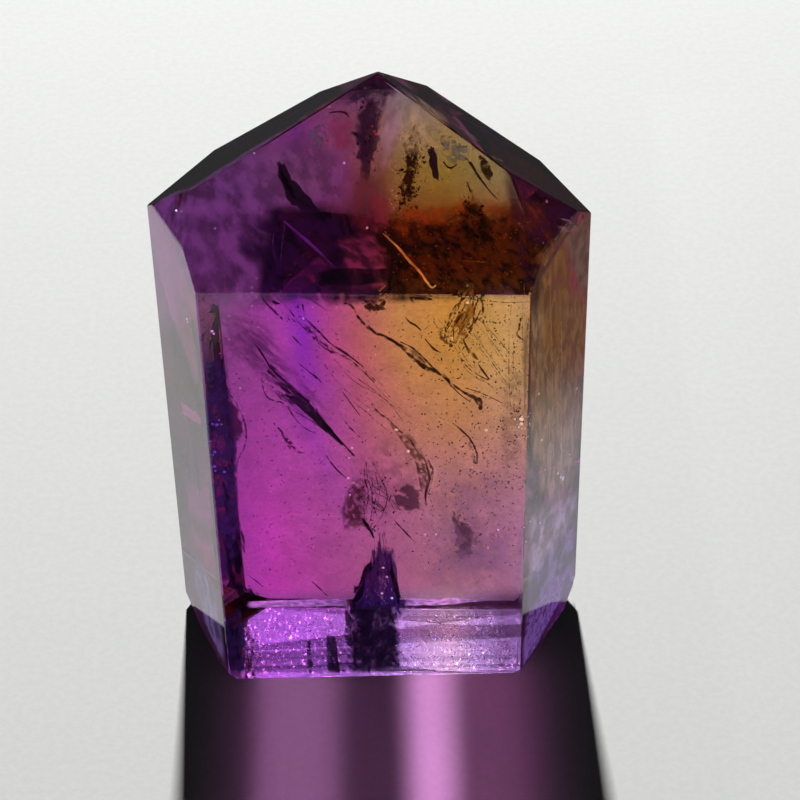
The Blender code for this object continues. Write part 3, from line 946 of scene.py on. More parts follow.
# films: face, depth, and the spots of the outline
films = {
    "goldFilm": {
        "triangle": ("front", 0.4, [
            (5.6, 34.9), (6.6, 34.9), (6.7, 33.5), (6.6, 32), (5.9, 30.8), (4.9, 30.6), (4.3, 31.6),
            (4.6, 33)]),
    },
    "redMist": {
        "streak": ("point", 0.2, [
            (-1.4, 41.2), (1.4, 41.6), (1.7, 39.2), (1.2, 37.2), (-0.8, 37.2), (-1.6, 39.2)]),
    },
    "nightVeil": {
        "bar": ("point", 0.03, [
            (-3.4, 36.2), (-0.8, 36.35), (1.3, 36.25), (1.3, 35.55), (-0.8, 35.4), (-3.4, 35.5)]),
        "barRight": ("point", 0.07, [
            (1.6, 37.4), (6, 37.4), (9.4, 37.2), (9.8, 35.3), (6, 35.2), (1.6, 35.3)]),
        "foot": ("front", 0.24, [(-2, 7.5), (1, 7.5), (1.35, 4), (1.3, 0.14), (-2.2, 0.14), (-2.3, 4)]),
        "footSide": ("front", 0.22, [(-3.7, 4.6), (-3, 4.4), (-2.8, 0.2), (-3.7, 0.2)]),
    },
    # painted shade: glowing dark plum sheets that set the tone of the shaded lower point face and of the
    # right point facet
    "plumShade": {
        "facet": ("pointRight", 0.06, [
            (8, 41.6), (10.8, 39.4), (13.6, 36.2), (12.9, 35.4), (10.6, 35.2), (9.6, 35.8), (8.6, 38.8)]),
        "left": ("point", 0.06, [
            (-7.6, 38.9), (-4.4, 39.8), (-1.4, 38.9), (0.6, 37.6), (1, 36.4), (0.9, 34.6), (-7.6, 34.6),
            (-6.6, 36), (-8.4, 37.4)]),
    },
    "plumStreak": {
        "tip": ("point", 0.03, [
            (-2, 44.3), (0.4, 46), (1, 46), (2.6, 44.8), (1.8, 44.3), (0.4, 44.6), (-1.2, 44)]),
        "streak": ("point", 0.2, [
            (0.1, 45.4), (1.6, 45.2), (1.3, 44.1), (0.9, 43.3), (0.6, 42.6), (0.5, 41.9), (0.2, 41),
            (0, 39.9), (-0.6, 40.1), (-0.5, 41.2), (-0.7, 41.9), (-1.2, 42.8), (-0.8, 43.5), (-0.4, 44.3)]),
    },
    "wingShade": {
        "wing": ("point", 0.07, [
            (-5.5, 41.6), (-5, 41.5), (-4.6, 40.7), (-3.9, 40.1), (-3.4, 39.7), (-3, 38.95), (-3.8, 39.1),
            (-4.6, 39.4), (-5, 39.9), (-5.3, 40.7)]),
        "flake": ("point", 0.3, [
            (3.6, 41.9), (3.9, 41.9), (4.15, 41.1), (4.2, 40.3), (3.8, 40.6), (3.6, 41.3)]),
    },
    "roseMist": {
        "oval": ("point", 0.26, [
            (-2.2, 43.8), (-1.3, 44), (-0.7, 43.5), (-0.8, 42.7), (-0.6, 41.9), (-1.4, 41.6), (-2.1, 42),
            (-2.5, 42.9)]),
        "curls": ("point", 0.04, [
            (-2.1, 37.9), (0.3, 38.2), (1.4, 36.7), (1.1, 35), (-1.2, 35.2), (-1.9, 36.6)]),
        "seam": ("point", 0.26, [
            (-0.2, 39.8), (0.6, 40.4), (1.3, 39.6), (1.3, 38.2), (0.4, 37.6), (-0.3, 38.4)]),
    },
    "lilacMist": {
        "streak": ("point", 0.28, [
            (1.4, 44.7), (2.3, 44.4), (2.3, 43), (1.6, 41.8), (1.2, 40.6), (0.2, 39.8), (0.3, 41.2),
            (0.6, 42.4), (1, 43.5)]),
    },
    "sandMist": {
        "patch": ("point", 0.3, [
            (2, 44.6), (3.1, 44.2), (4.6, 43.2), (4.4, 42), (3.1, 41.4), (2, 41.6), (1.7, 43)]),
    },
    # painted light: glowing gold and fawn veils just inside the right wall set the tone that the wall shows
    "goldVeil": {
        "wallTop": ("frontRight", 0.05, [
            (10.1, 37.6), (12, 37), (12.6, 32.2), (12.4, 27.6), (11.4, 25.9), (10.2, 28.5), (10, 32.7)]),
    },
    "fawnVeil": {
        "wallMiddle": ("frontRight", 0.08, [
            (10.1, 33), (11.6, 31.4), (12.1, 24.8), (11.6, 17.2), (10.3, 18.6), (10.1, 27.4)]),
        "wallStrip": ("frontRight", 0.03, [
            (9.6, 34.2), (10.5, 33.6), (10.8, 28), (10.8, 20), (10.1, 17.6), (9.8, 22), (9.65, 28)]),
        "wallSide": ("frontRight", 0.06, [(11.2, 33), (13.8, 30), (14, 14.8), (12.1, 13.6), (10.9, 22.9)]),
        "wallLow": ("frontRight", 0.07, [(10.2, 26), (13.6, 21), (13.6, 12), (11.8, 11.4), (10.4, 15.9)]),
    },
    # painted shade: glowing grey-violet veils in the top corner of the right wall, in place of the dusky
    # violet that corner shows
    "duskCorner": {
        "wallCorner": ("frontRight", 0.02, [
            (11, 38.8), (14.6, 38.4), (14.8, 27), (13.2, 28.6), (12.2, 33.5)]),
        "wallCornerDeep": ("frontRight", 0.05, [
            (11.4, 38.4), (14.6, 38), (14.6, 29.4), (13.4, 30.6), (12.6, 34.5)]),
    },
    # painted reflection: pale glowing sheets just inside the low side walls, in place of the lit floor
    # mirrored in them
    "paleMist": {
        "rightWall": ("frontRight", 0.06, [(9.6, 16.5), (13.7, 11), (14, 0.2), (12.7, 0.4), (9.7, 5.6)]),
        "rightWallLow": ("frontRight", 0.05, [(9.7, 11), (13.7, 7), (14, 0.2), (12.6, 0.6), (9.8, 5.4)]),
        "leftWallLow": ("frontLeft", 0.05, [
            (-10.7, 8.4), (-12.4, 8.4), (-13.2, 4.6), (-12.2, 1.2), (-10.7, 0.3)]),
        "leftToe": ("frontLeft", 0.04, [(-10.6, 5.4), (-12.4, 4.4), (-12.4, 1.2), (-10.6, 0.3)]),
    },
    # painted light: glowing violet sheets low in the right wall, in place of the violet light seen there
    # through the toe
    "violetMist": {
        "rightToe": ("frontRight", 0.04, [
            (9.7, 5.6), (11.6, 5.4), (13.2, 3.8), (12.8, 1.4), (11, 0.3), (9.7, 0.3)]),
        "rightToeLow": ("frontRight", 0.06, [(9.6, 3.4), (11, 3.4), (11.8, 1.6), (10.8, 0.2), (9.6, 0.2)]),
    },
    "violetVeil": {
        "featherRound": ("front", 0.34, [
            (-8, 33.2), (-6.2, 31.6), (-4.6, 29), (-3, 26.6), (-1.8, 23.4), (-3.6, 23.6), (-5.6, 25.2),
            (-7, 27.6), (-8.2, 30.4)]),
        "featherTop": ("front", 0.3, [
            (-8.6, 33.8), (-6.4, 33.4), (-5, 30.4), (-5.6, 27.4), (-7.4, 28.6), (-8.8, 31.2)]),
    },
    "tanVeil": {
        "patch": ("front", 0.46, [
            (-1.5, 19.8), (-0.5, 19.4), (-0.6, 16.6), (-0.6, 14.4), (-2.3, 14.2), (-2.5, 16.2),
            (-2.1, 17.8)]),
        "patchCore": ("front", 0.45, [(-1.5, 18.6), (-0.8, 18.6), (-0.9, 15), (-2.1, 14.8), (-2.1, 16.4)]),
        "arcShade": ("front", 0.42, [
            (0.6, 24.8), (2.4, 23.2), (3.4, 20.6), (3.5, 17.6), (2.9, 17.6), (2.8, 20.2), (1.8, 22.4)]),
    },
    "brownFilm": {
        "column": ("point", 0.36, [
            (2, 43.1), (3.4, 43), (3.3, 41.4), (2.9, 39.8), (2.6, 38.5), (1.5, 38.5), (1.7, 39.9),
            (2.2, 41.3)]),
        "crackTop": ("front", 0.35, [(-0.9, 34.9), (1, 34.9), (1.2, 33.6), (0, 33.2), (-0.8, 33.8)]),
    },
    "plumFilm": {
        "smudge": ("front", 0.62, [
            (4.9, 16.8), (5.8, 16), (6.5, 13.4), (6.4, 11.3), (5, 11.4), (4.5, 14.4)]),
        "lens": ("front", 0.22, [
            (-9.2, 29.2), (-8.6, 27), (-8, 24.4), (-8.2, 22.2), (-9, 20.6), (-9.5, 23.4), (-9.4, 26.6)]),
        "arcPlum": ("front", 0.52, [
            (1, 18.6), (1.9, 19.3), (2.9, 18.4), (3.2, 16.6), (2.2, 15.8), (0.9, 16.6)]),
        "tipPlum": ("point", 0.34, [
            (-0.6, 45), (0.9, 45.3), (1, 43.4), (1.1, 41.6), (0, 39.8), (-1, 41), (-0.9, 43)]),
    },
    "featherFilm": {
        "featherShade": ("front", 0.42, [
            (-7.4, 31.4), (-6, 29.6), (-4.6, 27.4), (-3.2, 25), (-2.4, 23.2), (-3.6, 24), (-5.4, 25.6),
            (-6.8, 28.2)]),
    },
    "duskVeil": {
        "upperLeft": ("front", 0.5, [
            (-9.6, 34.8), (-6.4, 34.8), (-6.2, 31.6), (-7, 29), (-9.2, 28.6), (-9.8, 31.6)]),
        "rightSide": ("front", 0.5, [(8.2, 30), (9.4, 30), (9.4, 20), (8.2, 18), (7.6, 24)]),
        "lowerRight": ("front", 0.55, [(4.4, 16), (6.8, 17), (7.4, 12), (6.4, 9.4), (4.4, 11.4)]),
        "arcSide": ("front", 0.5, [
            (-1.6, 20.8), (0.8, 24), (2.8, 22.4), (3.4, 16.8), (0.6, 14.8), (-2, 15.2)]),
    },
    "mistVeil": {
        "lowerRight": ("front", 0.35, [(3.6, 21), (8.8, 22), (9.4, 14), (8.6, 9), (3, 9), (2.2, 14.6)]),
        "footRight": ("front", 0.3, [(3, 13), (9.3, 14.6), (9.3, 8.2), (2.4, 8.2)]),
    },
    "greyCloud": {
        "cloud": ("point", 0.35, [
            (3.9, 42.8), (5.2, 42.7), (6.5, 42), (6.4, 41), (5.4, 40.6), (4.5, 40.8), (4, 41.8)]),
        "tipCloud": ("point", 0.3, [
            (-1.8, 44.4), (-0.6, 45), (0.6, 45.2), (0.8, 44.7), (-0.2, 44.1), (-1, 43.9)]),
        "tipCloudLow": ("point", 0.25, [(-4, 43.2), (-2.6, 43.8), (-1.9, 43), (-2.6, 41.6), (-3.6, 41.8)]),
    },
    "purpleHaze": {
        "leftHaze": ("point", 0.16, [
            (-13.2, 40.2), (-10.2, 42), (-7.4, 43), (-4.6, 41.6), (-5.4, 38.8), (-6.4, 34.9), (-8.6, 34.7),
            (-10.6, 34.7), (-12.6, 37)]),
        "lowHaze": ("point", 0.13, [
            (-12.6, 39.4), (-9, 40.4), (-6.8, 38.8), (-6.2, 34.8), (-9.6, 34.7), (-12, 36.4)]),
        "midHaze": ("point", 0.2, [
            (-8, 41.8), (-4, 43), (-0.8, 42), (-0.8, 39.4), (-4, 38.9), (-7.4, 39.4)]),
        "facet": ("pointLeft", 0.1, [
            (-13.6, 36.8), (-12.5, 38.3), (-11.4, 39.5), (-11, 38.9), (-11.2, 38), (-11.4, 37.2),
            (-12.4, 36.9)]),
    },
    "umberVeil": {
        "right": ("point", 0.06, [
            (1.2, 38.6), (4.4, 38.4), (8.8, 38.8), (10.8, 36.8), (10.6, 34.6), (1, 34.6)]),
        "middle": ("point", 0.08, [(-3, 37.8), (0, 38.2), (2.8, 38), (2.8, 34.6), (-2.8, 34.6)]),
        "mass": ("point", 0.05, [
            (5.5, 39.5), (6.7, 39.4), (7.6, 37.2), (7.4, 35.9), (6, 36.2), (5.2, 37.8)]),
    },
    "amberVeil": {
        "right": ("point", 0.05, [
            (1.2, 38.6), (5, 38.8), (9, 39.4), (10.9, 36.8), (10.4, 34.7), (1, 34.7)]),
        "low": ("point", 0.04, [(1.6, 37.2), (9.4, 37.6), (10.6, 36), (10, 34.7), (1.6, 34.7)]),
    },
    "emberVeil": {
        "left": ("point", 0.3, [(0.8, 39), (2.6, 39.4), (4.4, 39.2), (4.4, 37.4), (2.6, 37), (0.8, 37.2)]),
        "middle": ("point", 0.31, [
            (3.4, 39.2), (5.2, 39.5), (7.4, 39.4), (7.6, 37.6), (5.2, 37.4), (3.4, 37.4)]),
        "right": ("point", 0.32, [
            (6.6, 39.3), (8.4, 39.4), (10, 38.8), (10.4, 36.6), (8.4, 36.4), (6.6, 37.4)]),
    },
    # painted shade: dark indigo sheets with a faint glow along the lower left strip and corner, which are in
    # shade
    "indigoMist": {
        "corner": ("front", 0.02, [(-10.7, 8), (-9.3, 7.6), (-9.1, 3.4), (-9.3, 0.3), (-10.5, 0.3)]),
        "strip": ("front", 0.03, [
            (-10.4, 32), (-8.9, 31), (-8.7, 22), (-9.1, 12), (-10.4, 8), (-10.6, 20)]),
    },
    "indigoPlume": {
        "plume": ("front", 0.55, [
            (0, 14.8), (0.5, 14.8), (1.1, 12), (1.5, 9), (1.7, 5.6), (-2.2, 5.6), (-1.8, 8.6),
            (-0.8, 11.4)]),
        "plumeRight": ("front", 0.5, [(0.4, 14.6), (1.2, 12), (1.5, 9), (1.7, 6), (0, 6), (0.2, 10)]),
        "plumeLeft": ("front", 0.45, [
            (0.1, 13), (0.4, 9), (0.3, 5.8), (-2.2, 5.8), (-1.6, 8.4), (-0.8, 11)]),
        "plumeFoot": ("front", 0.3, [
            (1.6, 7.4), (1.9, 3.2), (1.6, 0.2), (-2.8, 0.2), (-2.9, 3.2), (-2, 7.4)]),
    },
    "plumeShade": {
        "left": ("front", 0.48, [
            (0, 14), (0.1, 12), (-0.5, 9.6), (-0.9, 6.4), (-2.4, 6.4), (-1.8, 9), (-0.7, 12)]),
        "right": ("front", 0.42, [(0.9, 12.4), (1.3, 9.6), (1.8, 6.6), (1.2, 6.4), (0.9, 9), (0.5, 11.4)]),
        # painted shade: dark sheets in the lower left corner and strip, where the long way through the stone
        # shows red
        "footCorner": ("front", 0.12, [(-10.6, 6.8), (-9.5, 6.4), (-9.3, 0.3), (-10.4, 0.4)]),
        "leftStrip": ("front", 0.12, [
            (-9.9, 22), (-8.8, 20), (-8.6, 12), (-9, 8.2), (-10.4, 8.2), (-10.2, 15)]),
        "leftCorner": ("front", 0.15, [(-9.6, 10.6), (-8.4, 9.2), (-7.6, 8.2), (-9.4, 7.8), (-10.2, 9.2)]),
    },
    # painted highlight: glowing pink lines above the foot and along the bottom and right edges, where the
    # back light comes through
    "roseFilm": {
        "sill": ("front", 0.02, [(-8.9, 8), (-5.4, 8), (-1.9, 8), (-1.9, 7.2), (-5.4, 7.2), (-8.9, 7.2)]),
        "sillLeft": ("front", 0.02, [
            (-8.9, 7.95), (-7, 7.95), (-4.6, 7.9), (-4.6, 7.3), (-7, 7.25), (-8.9, 7.25)]),
        "sillRight": ("front", 0.02, [
            (1.5, 7.95), (3.4, 7.9), (5.4, 7.75), (7.6, 7.5), (5.4, 7.15), (3.4, 7.05), (1.5, 7.15)]),
        "rim": ("front", 0.01, [(-9.2, 0.36), (-4.6, 0.32), (-4.6, 0.16), (-9.2, 0.16)]),
        "rimMiddle": ("front", 0.01, [(-4.4, 0.34), (-1.6, 0.32), (-1.6, 0.16), (-4.4, 0.16)]),
        "rimRight": ("front", 0.01, [(1.6, 0.32), (9, 0.3), (9, 0.16), (1.6, 0.16)]),
        "rimUp": ("front", 0.01, [(9.26, 5.4), (9.4, 5.4), (9.36, 0.3), (9.22, 0.3)]),
    },
}
for lookName, group in films.items():
    laid = [laySheet(face, share, outline, inclusions["filmTilt"]) for face, share, outline in group.values()]
    finishInclusion(joinPieces(laid, lookName + "Sheets"), finishes[lookName])
print("films laid")


# crumbs: grains scattered over a guide sheet, then made real
def makeGrain(name, shape):
    deselectAll()
    bpy.ops.mesh.primitive_ico_sphere_add(subdivisions=1, radius=0.5 * mm, location=(0, 0, 0))
    grain = bpy.context.object
    grain.name = name
    bpy.ops.object.mode_set(mode="EDIT")
    bpy.ops.mesh.select_all(action="SELECT")
    bpy.ops.transform.resize(value=shape, center_override=(0, 0, 0))
    bpy.ops.transform.vertex_random(offset=0.35 * min(shape) * mm, seed=4)
    bpy.ops.object.mode_set(mode="OBJECT")
    return grain


def addRandom(tree, low, high, seed):
    limits = {"Min": low, "Max": high, "Seed": seed}
    return addTo(tree, "FunctionNodeRandomValue", limits, data_type="FLOAT_VECTOR").outputs[0]


def scatterGrains(guide, grain, perSquareMm, sizes, spread, turns):
    tree = bpy.data.node_groups.new("scatterGrains", "GeometryNodeTree")
    tree.interface.new_socket("Geometry", in_out="INPUT", socket_type="NodeSocketGeometry")
    tree.interface.new_socket("Geometry", in_out="OUTPUT", socket_type="NodeSocketGeometry")
    seed = rolls.randrange(1, 9999)
    film = addTo(tree, "NodeGroupInput").outputs[0]
    dots = {"Mesh": film, "Density": perSquareMm / mm ** 2, "Seed": seed}
    points = addTo(tree, "GeometryNodeDistributePointsOnFaces", dots).outputs["Points"]
    shift = addRandom(tree, [-spread * mm] * 3, [spread * mm] * 3, seed + 1)
    moved = addTo(tree, "GeometryNodeSetPosition", {"Geometry": points, "Offset": shift}).outputs[0]
    lowest, highest = zip(*[[math.radians(angle) for angle in limits] for limits in turns])
    size = addTo(tree, "FunctionNodeRandomValue", {2: sizes[0], 3: sizes[1], "Seed": seed + 3}).outputs[1]
    placed = addTo(tree, "GeometryNodeInstanceOnPoints", {
        "Points": moved,
        "Instance": addTo(tree, "GeometryNodeObjectInfo", {"Object": grain}).outputs["Geometry"],
        "Rotation": addRandom(tree, lowest, highest, seed + 2),
        "Scale": size,
    }).outputs[0]
    real = addTo(tree, "GeometryNodeRealizeInstances", {0: placed}).outputs[0]
    addTo(tree, "NodeGroupOutput", {0: real})
    deselectAll()
    guide.select_set(True)
    bpy.context.view_layer.objects.active = guide
    crumbs = guide.modifiers.new("crumbs", "NODES")
    crumbs.node_group = tree
    bpy.ops.object.modifier_apply(modifier=crumbs.name)
    trimToStone(guide)


anyTurn = [(0, 360), (0, 360), (0, 360)]
slanting = [(-25, 25), (20, 60), (-25, 25)]
upright = [(-15, 15), (-20, 20), (-180, 180)]
# kind of grain, face, depth, grains per square mm, grain sizes in mm, spread in mm, turns, and the outline
crumbFields = {
    "brownGrain": {
        "brownColumn": ("chunk", "point", 0.35, 16, (0.1, 0.36), 0.3, anyTurn, [
            (2.2, 43), (3.2, 42.9), (3.3, 41.2), (2.9, 39.8), (2.6, 38.6), (1.6, 38.6), (1.7, 39.9),
            (2.2, 41.3)]),
        "brownNet": ("chunk", "front", 0.42, 5, (0.08, 0.3), 0.4, anyTurn, [
            (-0.8, 20.9), (0.2, 20.9), (1, 17.8), (0.6, 15.2), (-0.3, 13.8), (-1, 14.8), (-1.2, 17.8)]),
        "arcCrumbs": ("chunk", "front", 0.48, 14, (0.06, 0.2), 0.3, anyTurn, [
            (2.5, 21.6), (3.2, 21.2), (3.6, 19.4), (3.4, 16.6), (2.9, 16.8), (3.1, 18.8)]),
        "triangleCrumbs": ("chunk", "front", 0.4, 8, (0.05, 0.2), 0.4, anyTurn, [
            (5.4, 34.8), (7.1, 34.8), (7.1, 32), (6, 30.4), (4.4, 30.6), (4.4, 32.4)]),
        "rightDust": ("chunk", "front", 0.45, 7, (0.06, 0.22), 3, anyTurn, [
            (4.6, 34.6), (9.3, 34.6), (9.3, 12), (3.6, 12)]),
        "rightDashes": ("splinter", "front", 0.45, 0.5, (0.1, 0.45), 3, slanting, [
            (3, 34.6), (9.3, 34.6), (9.3, 12), (3, 12)]),
        "edgeDust": ("chunk", "front", 0.3, 7, (0.05, 0.2), 0.8, anyTurn, [
            (8.4, 33.6), (9.4, 33.6), (9.4, 18), (8.4, 18)]),
        "smudgeCrumbs": ("chunk", "front", 0.6, 9, (0.05, 0.18), 0.5, anyTurn, [
            (4.8, 17), (5.6, 16.6), (6.4, 13), (6, 11.2), (4.9, 11.6), (4.5, 14.8)]),
        "lowCrumbs": ("chunk", "front", 0.45, 9, (0.05, 0.2), 0.3, anyTurn, [
            (2.6, 14.4), (4.2, 14), (4, 12.8), (2.8, 13.2)]),
    },
    "inkGrain": {
        "tipVeil": ("chunk", "point", 0.32, 9, (0.06, 0.3), 0.35, anyTurn, [
            (-0.4, 45.1), (1, 45.3), (0.7, 43.6), (0.9, 42.6), (0.2, 41), (-0.6, 39.9), (-0.9, 41.4),
            (-0.5, 42.8)]),
        "darkMass": ("chunk", "point", 0.06, 18, (0.1, 0.44), 0.3, anyTurn, [
            (5.7, 39.3), (6.7, 39.2), (7.3, 37.2), (7.2, 36.2), (6.2, 36.6), (5.5, 37.8)]),
        "cloudCurls": ("splinter", "point", 0.3, 9, (0.2, 0.5), 0.3, anyTurn, [
            (4, 42.5), (5.2, 42.4), (6.2, 41.9), (6, 41.5), (4.8, 41.7), (4.1, 41.9)]),
        "leftDust": ("chunk", "front", 0.5, 2.4, (0.05, 0.17), 3, anyTurn, [
            (-9.4, 34.6), (3.6, 34.6), (3.6, 12), (-9, 12)]),
        "leftDashes": ("splinter", "front", 0.5, 0.25, (0.1, 0.4), 3, slanting, [
            (-9.4, 34.6), (3.6, 34.6), (3.6, 9.6), (-9, 9.6)]),
        "columnRight": ("chunk", "front", 0.12, 14, (0.06, 0.24), 0.25, anyTurn, [
            (9, 26.4), (9.4, 26.4), (9.5, 22), (9.1, 22)]),
        "pointDust": ("chunk", "point", 0.4, 1.6, (0.05, 0.16), 1, anyTurn, [
            (-11, 39.6), (-3, 43.6), (3, 43.6), (9, 39), (9, 36), (-10, 36)]),
        "footDust": ("chunk", "front", 0.18, 5, (0.05, 0.18), 0.5, anyTurn, [
            (-9.4, 5.8), (8.8, 6), (9, 0.5), (-9.4, 0.5)]),
    },
    "amberGrain": {
        "amberMass": ("chunk", "point", 0.05, 6, (0.05, 0.2), 0.4, anyTurn, [
            (1, 38.2), (4.4, 38.3), (9.2, 38), (10.2, 36.6), (10, 35.4), (1.6, 35.4), (0.8, 36.6)]),
        "tipAmber": ("chunk", "point", 0.3, 14, (0.06, 0.24), 0.3, anyTurn, [
            (2.2, 43), (3.4, 42.9), (3.3, 41.2), (2.9, 39.8), (2.6, 38.6), (1.6, 38.6), (1.7, 39.9),
            (2.2, 41.3)]),
        "triangleAmber": ("chunk", "front", 0.38, 6, (0.06, 0.22), 0.3, anyTurn, [
            (5.4, 34.8), (6.9, 34.8), (6.9, 32), (6, 30.6), (4.5, 30.8), (4.5, 32.4)]),
    },
    # painted glints: glowing violet specks by the lens, the plume and the foot
    "violetSpark": {
        "lensSparks": ("chunk", "front", 0.12, 6, (0.06, 0.24), 0.3, anyTurn, [
            (-10.2, 27.4), (-9.4, 27.4), (-9, 20), (-10, 20)]),
        "plumeSparks": ("splinter", "front", 0.45, 7, (0.12, 0.5), 0.4, upright, [
            (0.1, 12), (0.8, 12), (1, 6.6), (-1.4, 6.6)]),
        "footSparks": ("chunk", "front", 0.16, 9, (0.05, 0.2), 0.5, anyTurn, [
            (-9.2, 5.8), (-2.6, 5.8), (-2.6, 0.5), (-9.2, 0.5)]),
        "footSparksRight": ("chunk", "front", 0.16, 9, (0.05, 0.2), 0.5, anyTurn, [
            (1.4, 5.8), (8.6, 5.8), (8.8, 0.5), (1.4, 0.5)]),
    },
    # painted glints: glowing pale specks over the foot, a chip and the window
    "paleSpark": {
        "footSparks": ("chunk", "front", 0.12, 9, (0.04, 0.16), 0.4, anyTurn, [
            (0.9, 3.6), (3.4, 4.6), (6.4, 3.6), (8.6, 1.6), (8.6, 0.4), (0.9, 0.4)]),
        "footSparksLeft": ("chunk", "front", 0.12, 2.6, (0.04, 0.13), 0.4, anyTurn, [
            (-9.4, 4.6), (-3, 4.6), (-3, 0.4), (-9.4, 0.4)]),
        "rightChipSparks": ("chunk", "front", 0.1, 7, (0.05, 0.18), 0.3, anyTurn, [
            (8.2, 24.6), (9.5, 24.6), (9.5, 22.6), (8.2, 22.6)]),
        "windowDust": ("chunk", "front", 0.4, 0.6, (0.05, 0.11), 3, anyTurn, [
            (-9.4, 34.6), (9.3, 34.6), (9.3, 9), (-9, 9)]),
    },
}
grainShapes = {"chunk": (1.0, 0.62, 0.34), "splinter": (0.12, 0.10, 1.0)}
grains = {name: makeGrain(name, shape) for name, shape in grainShapes.items()}
for lookName, group in crumbFields.items():
    scattered = []
    for kind, face, share, perSquareMm, sizes, spread, turns, outline in group.values():
        guide = laySheet(face, share, outline)
        scatterGrains(guide, grains[kind], perSquareMm / 2, sizes, spread, turns)  # the film has two sides
        scattered.append(guide)
    finishInclusion(joinPieces(scattered, lookName + "s"), finishes[lookName])
for grain in grains.values():
    bpy.data.objects.remove(grain)
print("crumbs scattered")

# single glowing flecks, painted glints: depth, and spots with their sizes in mm
flecks = {
    "paleSpark": {
        "front": (0.3, [
            (-1.8, 19.4, 0.22), (-1.49, 18.95, 0.22), (-1.72, 17.85, 0.16), (-1.48, 22.1, 0.16),
            (-1.69, 21.2, 0.12), (-0.39, 25.4, 0.16), (1.33, 23.6, 0.24), (2.06, 21.7, 0.26),
            (4.85, 31.3, 0.22), (-4.14, 33.2, 0.24), (-6.89, 35, 0.19), (-7.17, 34.3, 0.19),
            (-9.7, 32.3, 0.19), (-9.6, 32.1, 0.16), (-8.7, 31.6, 0.12), (-8.25, 27.5, 0.16),
            (-9.6, 24.4, 0.19), (6.98, 23.4, 0.22), (5.76, 34.2, 0.19), (6.11, 20.1, 0.16),
            (7.83, 14.3, 0.16), (7.19, 12.6, 0.12), (9.2, 24.3, 0.3), (9.2, 23.9, 0.24), (3.07, 14, 0.19),
            (3.79, 14, 0.16), (0.28, 10.9, 0.22), (0.52, 10, 0.19), (0.16, 8.4, 0.19), (0.82, 7.9, 0.22)]),
        "frontRight": (0.03, [
            (13.17, 20.8, 0.22), (10.35, 25.1, 0.2), (12.36, 13.9, 0.34), (12.2, 14.3, 0.22),
            (11.96, 15.1, 0.2), (10.7, 12.7, 0.16), (10.64, 20.5, 0.16), (13.5, 2, 0.22),
            (10.96, 17.2, 0.12), (12.84, 15.3, 0.12)]),
        "point": (0.12, [
            (-1.43, 41.35, 0.18), (-9.21, 38.5, 0.18), (-0.15, 38.2, 0.18), (-6.76, 42, 0.14),
            (-11.5, 39.4, 0.14), (8.95, 38.1, 0.18), (9.12, 37.95, 0.18), (8.25, 36.3, 0.18),
            (8.73, 36.1, 0.14), (6.85, 35.55, 0.18), (2.35, 35.55, 0.18), (10, 37, 0.12)]),
    },
    "violetSpark": {
        "front": (0.02, [
            (-10.16, 24.5, 0.16), (-9.86, 24.4, 0.26), (-9.72, 24.8, 0.16), (-10.33, 22.95, 0.14),
            (-10.15, 22, 0.24), (-10.3, 21.75, 0.2), (-10.24, 20.7, 0.24), (-10.22, 20.3, 0.2),
            (-9.65, 20.2, 0.22), (-9.95, 26.9, 0.16)]),
    },
    "redSpark": {
        "point": (0.2, [(0.4, 42.8, 0.24), (0.46, 42.65, 0.2), (0.28, 43.05, 0.2), (-2.41, 42.45, 0.2)]),
    },
}


def addFlecks(face, share, spots):
    made = []
    for across, height, size in spots:
        spot, bent, reach = throughCrystal(across, height, face)
        deselectAll()
        bpy.ops.mesh.primitive_ico_sphere_add(subdivisions=1, radius=0.5 * size * mm, location=(0, 0, 0))
        fleck = bpy.context.object
        bpy.ops.object.mode_set(mode="EDIT")
        bpy.ops.mesh.select_all(action="SELECT")
        bpy.ops.transform.vertex_random(offset=0.15 * size * mm, seed=len(made) + 1)
        bpy.ops.object.mode_set(mode="OBJECT")
        fleck.location = (spot + bent * reach * share) * mm
        bpy.ops.object.transform_apply(location=True, rotation=True, scale=True)
        made.append(fleck)
    return made


for lookName, group in flecks.items():
    made = []
    for face, (share, spots) in group.items():
        made += addFlecks(face, share, spots)
    finishInclusion(joinPieces(made, lookName + "Flecks"), finishes[lookName])
print("flecks set")

# floor, cards and light, in mm and watts
studio = {
    "floorSize": 4000.0,
    "floorTone": ((0.79, 0.80, 0.775, 1), (0.82, 0.83, 0.805, 1)),
    "skyColour": (0.90, 0.90, 1.00),
    "skyFill": 0.012,
    "skyMirrored": 0.03,
    "skySeen": 0.85,
    "skyThroughStone": 0.26,
    "blackCard": (1900.0, 58.0),  # its size, and how far behind the crystal it starts
    "blackTone": (0.004, 0.004, 0.006, 1),
    "duskCard": (120.0, 83.5, -2.5),  # its size, and its middle
    "duskTone": ((0.80, 0.81, 0.79, 1), (0.22, 0.11, 0.06, 1)),
    "duskRamp": (24.0, 35.0),  # how far to the right it goes from pale to dusky
    "cardHeight": 0.5,
    "lamps": {  # place, size, power and colour
        "backSoftbox": ((-14, 400, 415), (24, 20), 3.75, (1, 1, 1)),
        "backPanel": ((0, 341, 366), (380, 300), 0.80, (0.68, 0.92, 1.0)),
    },
    "glows": {  # light that the crystal throws on the floor: middle, width, spread in degrees, power, colour
        "glowLeft": (-5.7, 5.4, 4, 0.000136, (0.80, 0.31, 0.77)),
        "glowMiddle": (3.3, 2.8, 4, 0.000250, (0.80, 0.33, 0.78)),
        "glowRight": (7.2, 4.6, 6, 0.000060, (0.78, 0.23, 0.62)),
        "glowWide": (0.6, 21.0, 9, 0.000150, (0.80, 0.19, 0.70)),
    },
    "glowFrom": (-41.0, 42.0),  # how far in front and how high
    "glowTo": -20.5,
    "glowLength": 26.0,
}


def plainMaterial(name, colour, roughness):
    return finishMaterial(newMaterial(name), {"Base Color": colour, "Roughness": roughness})


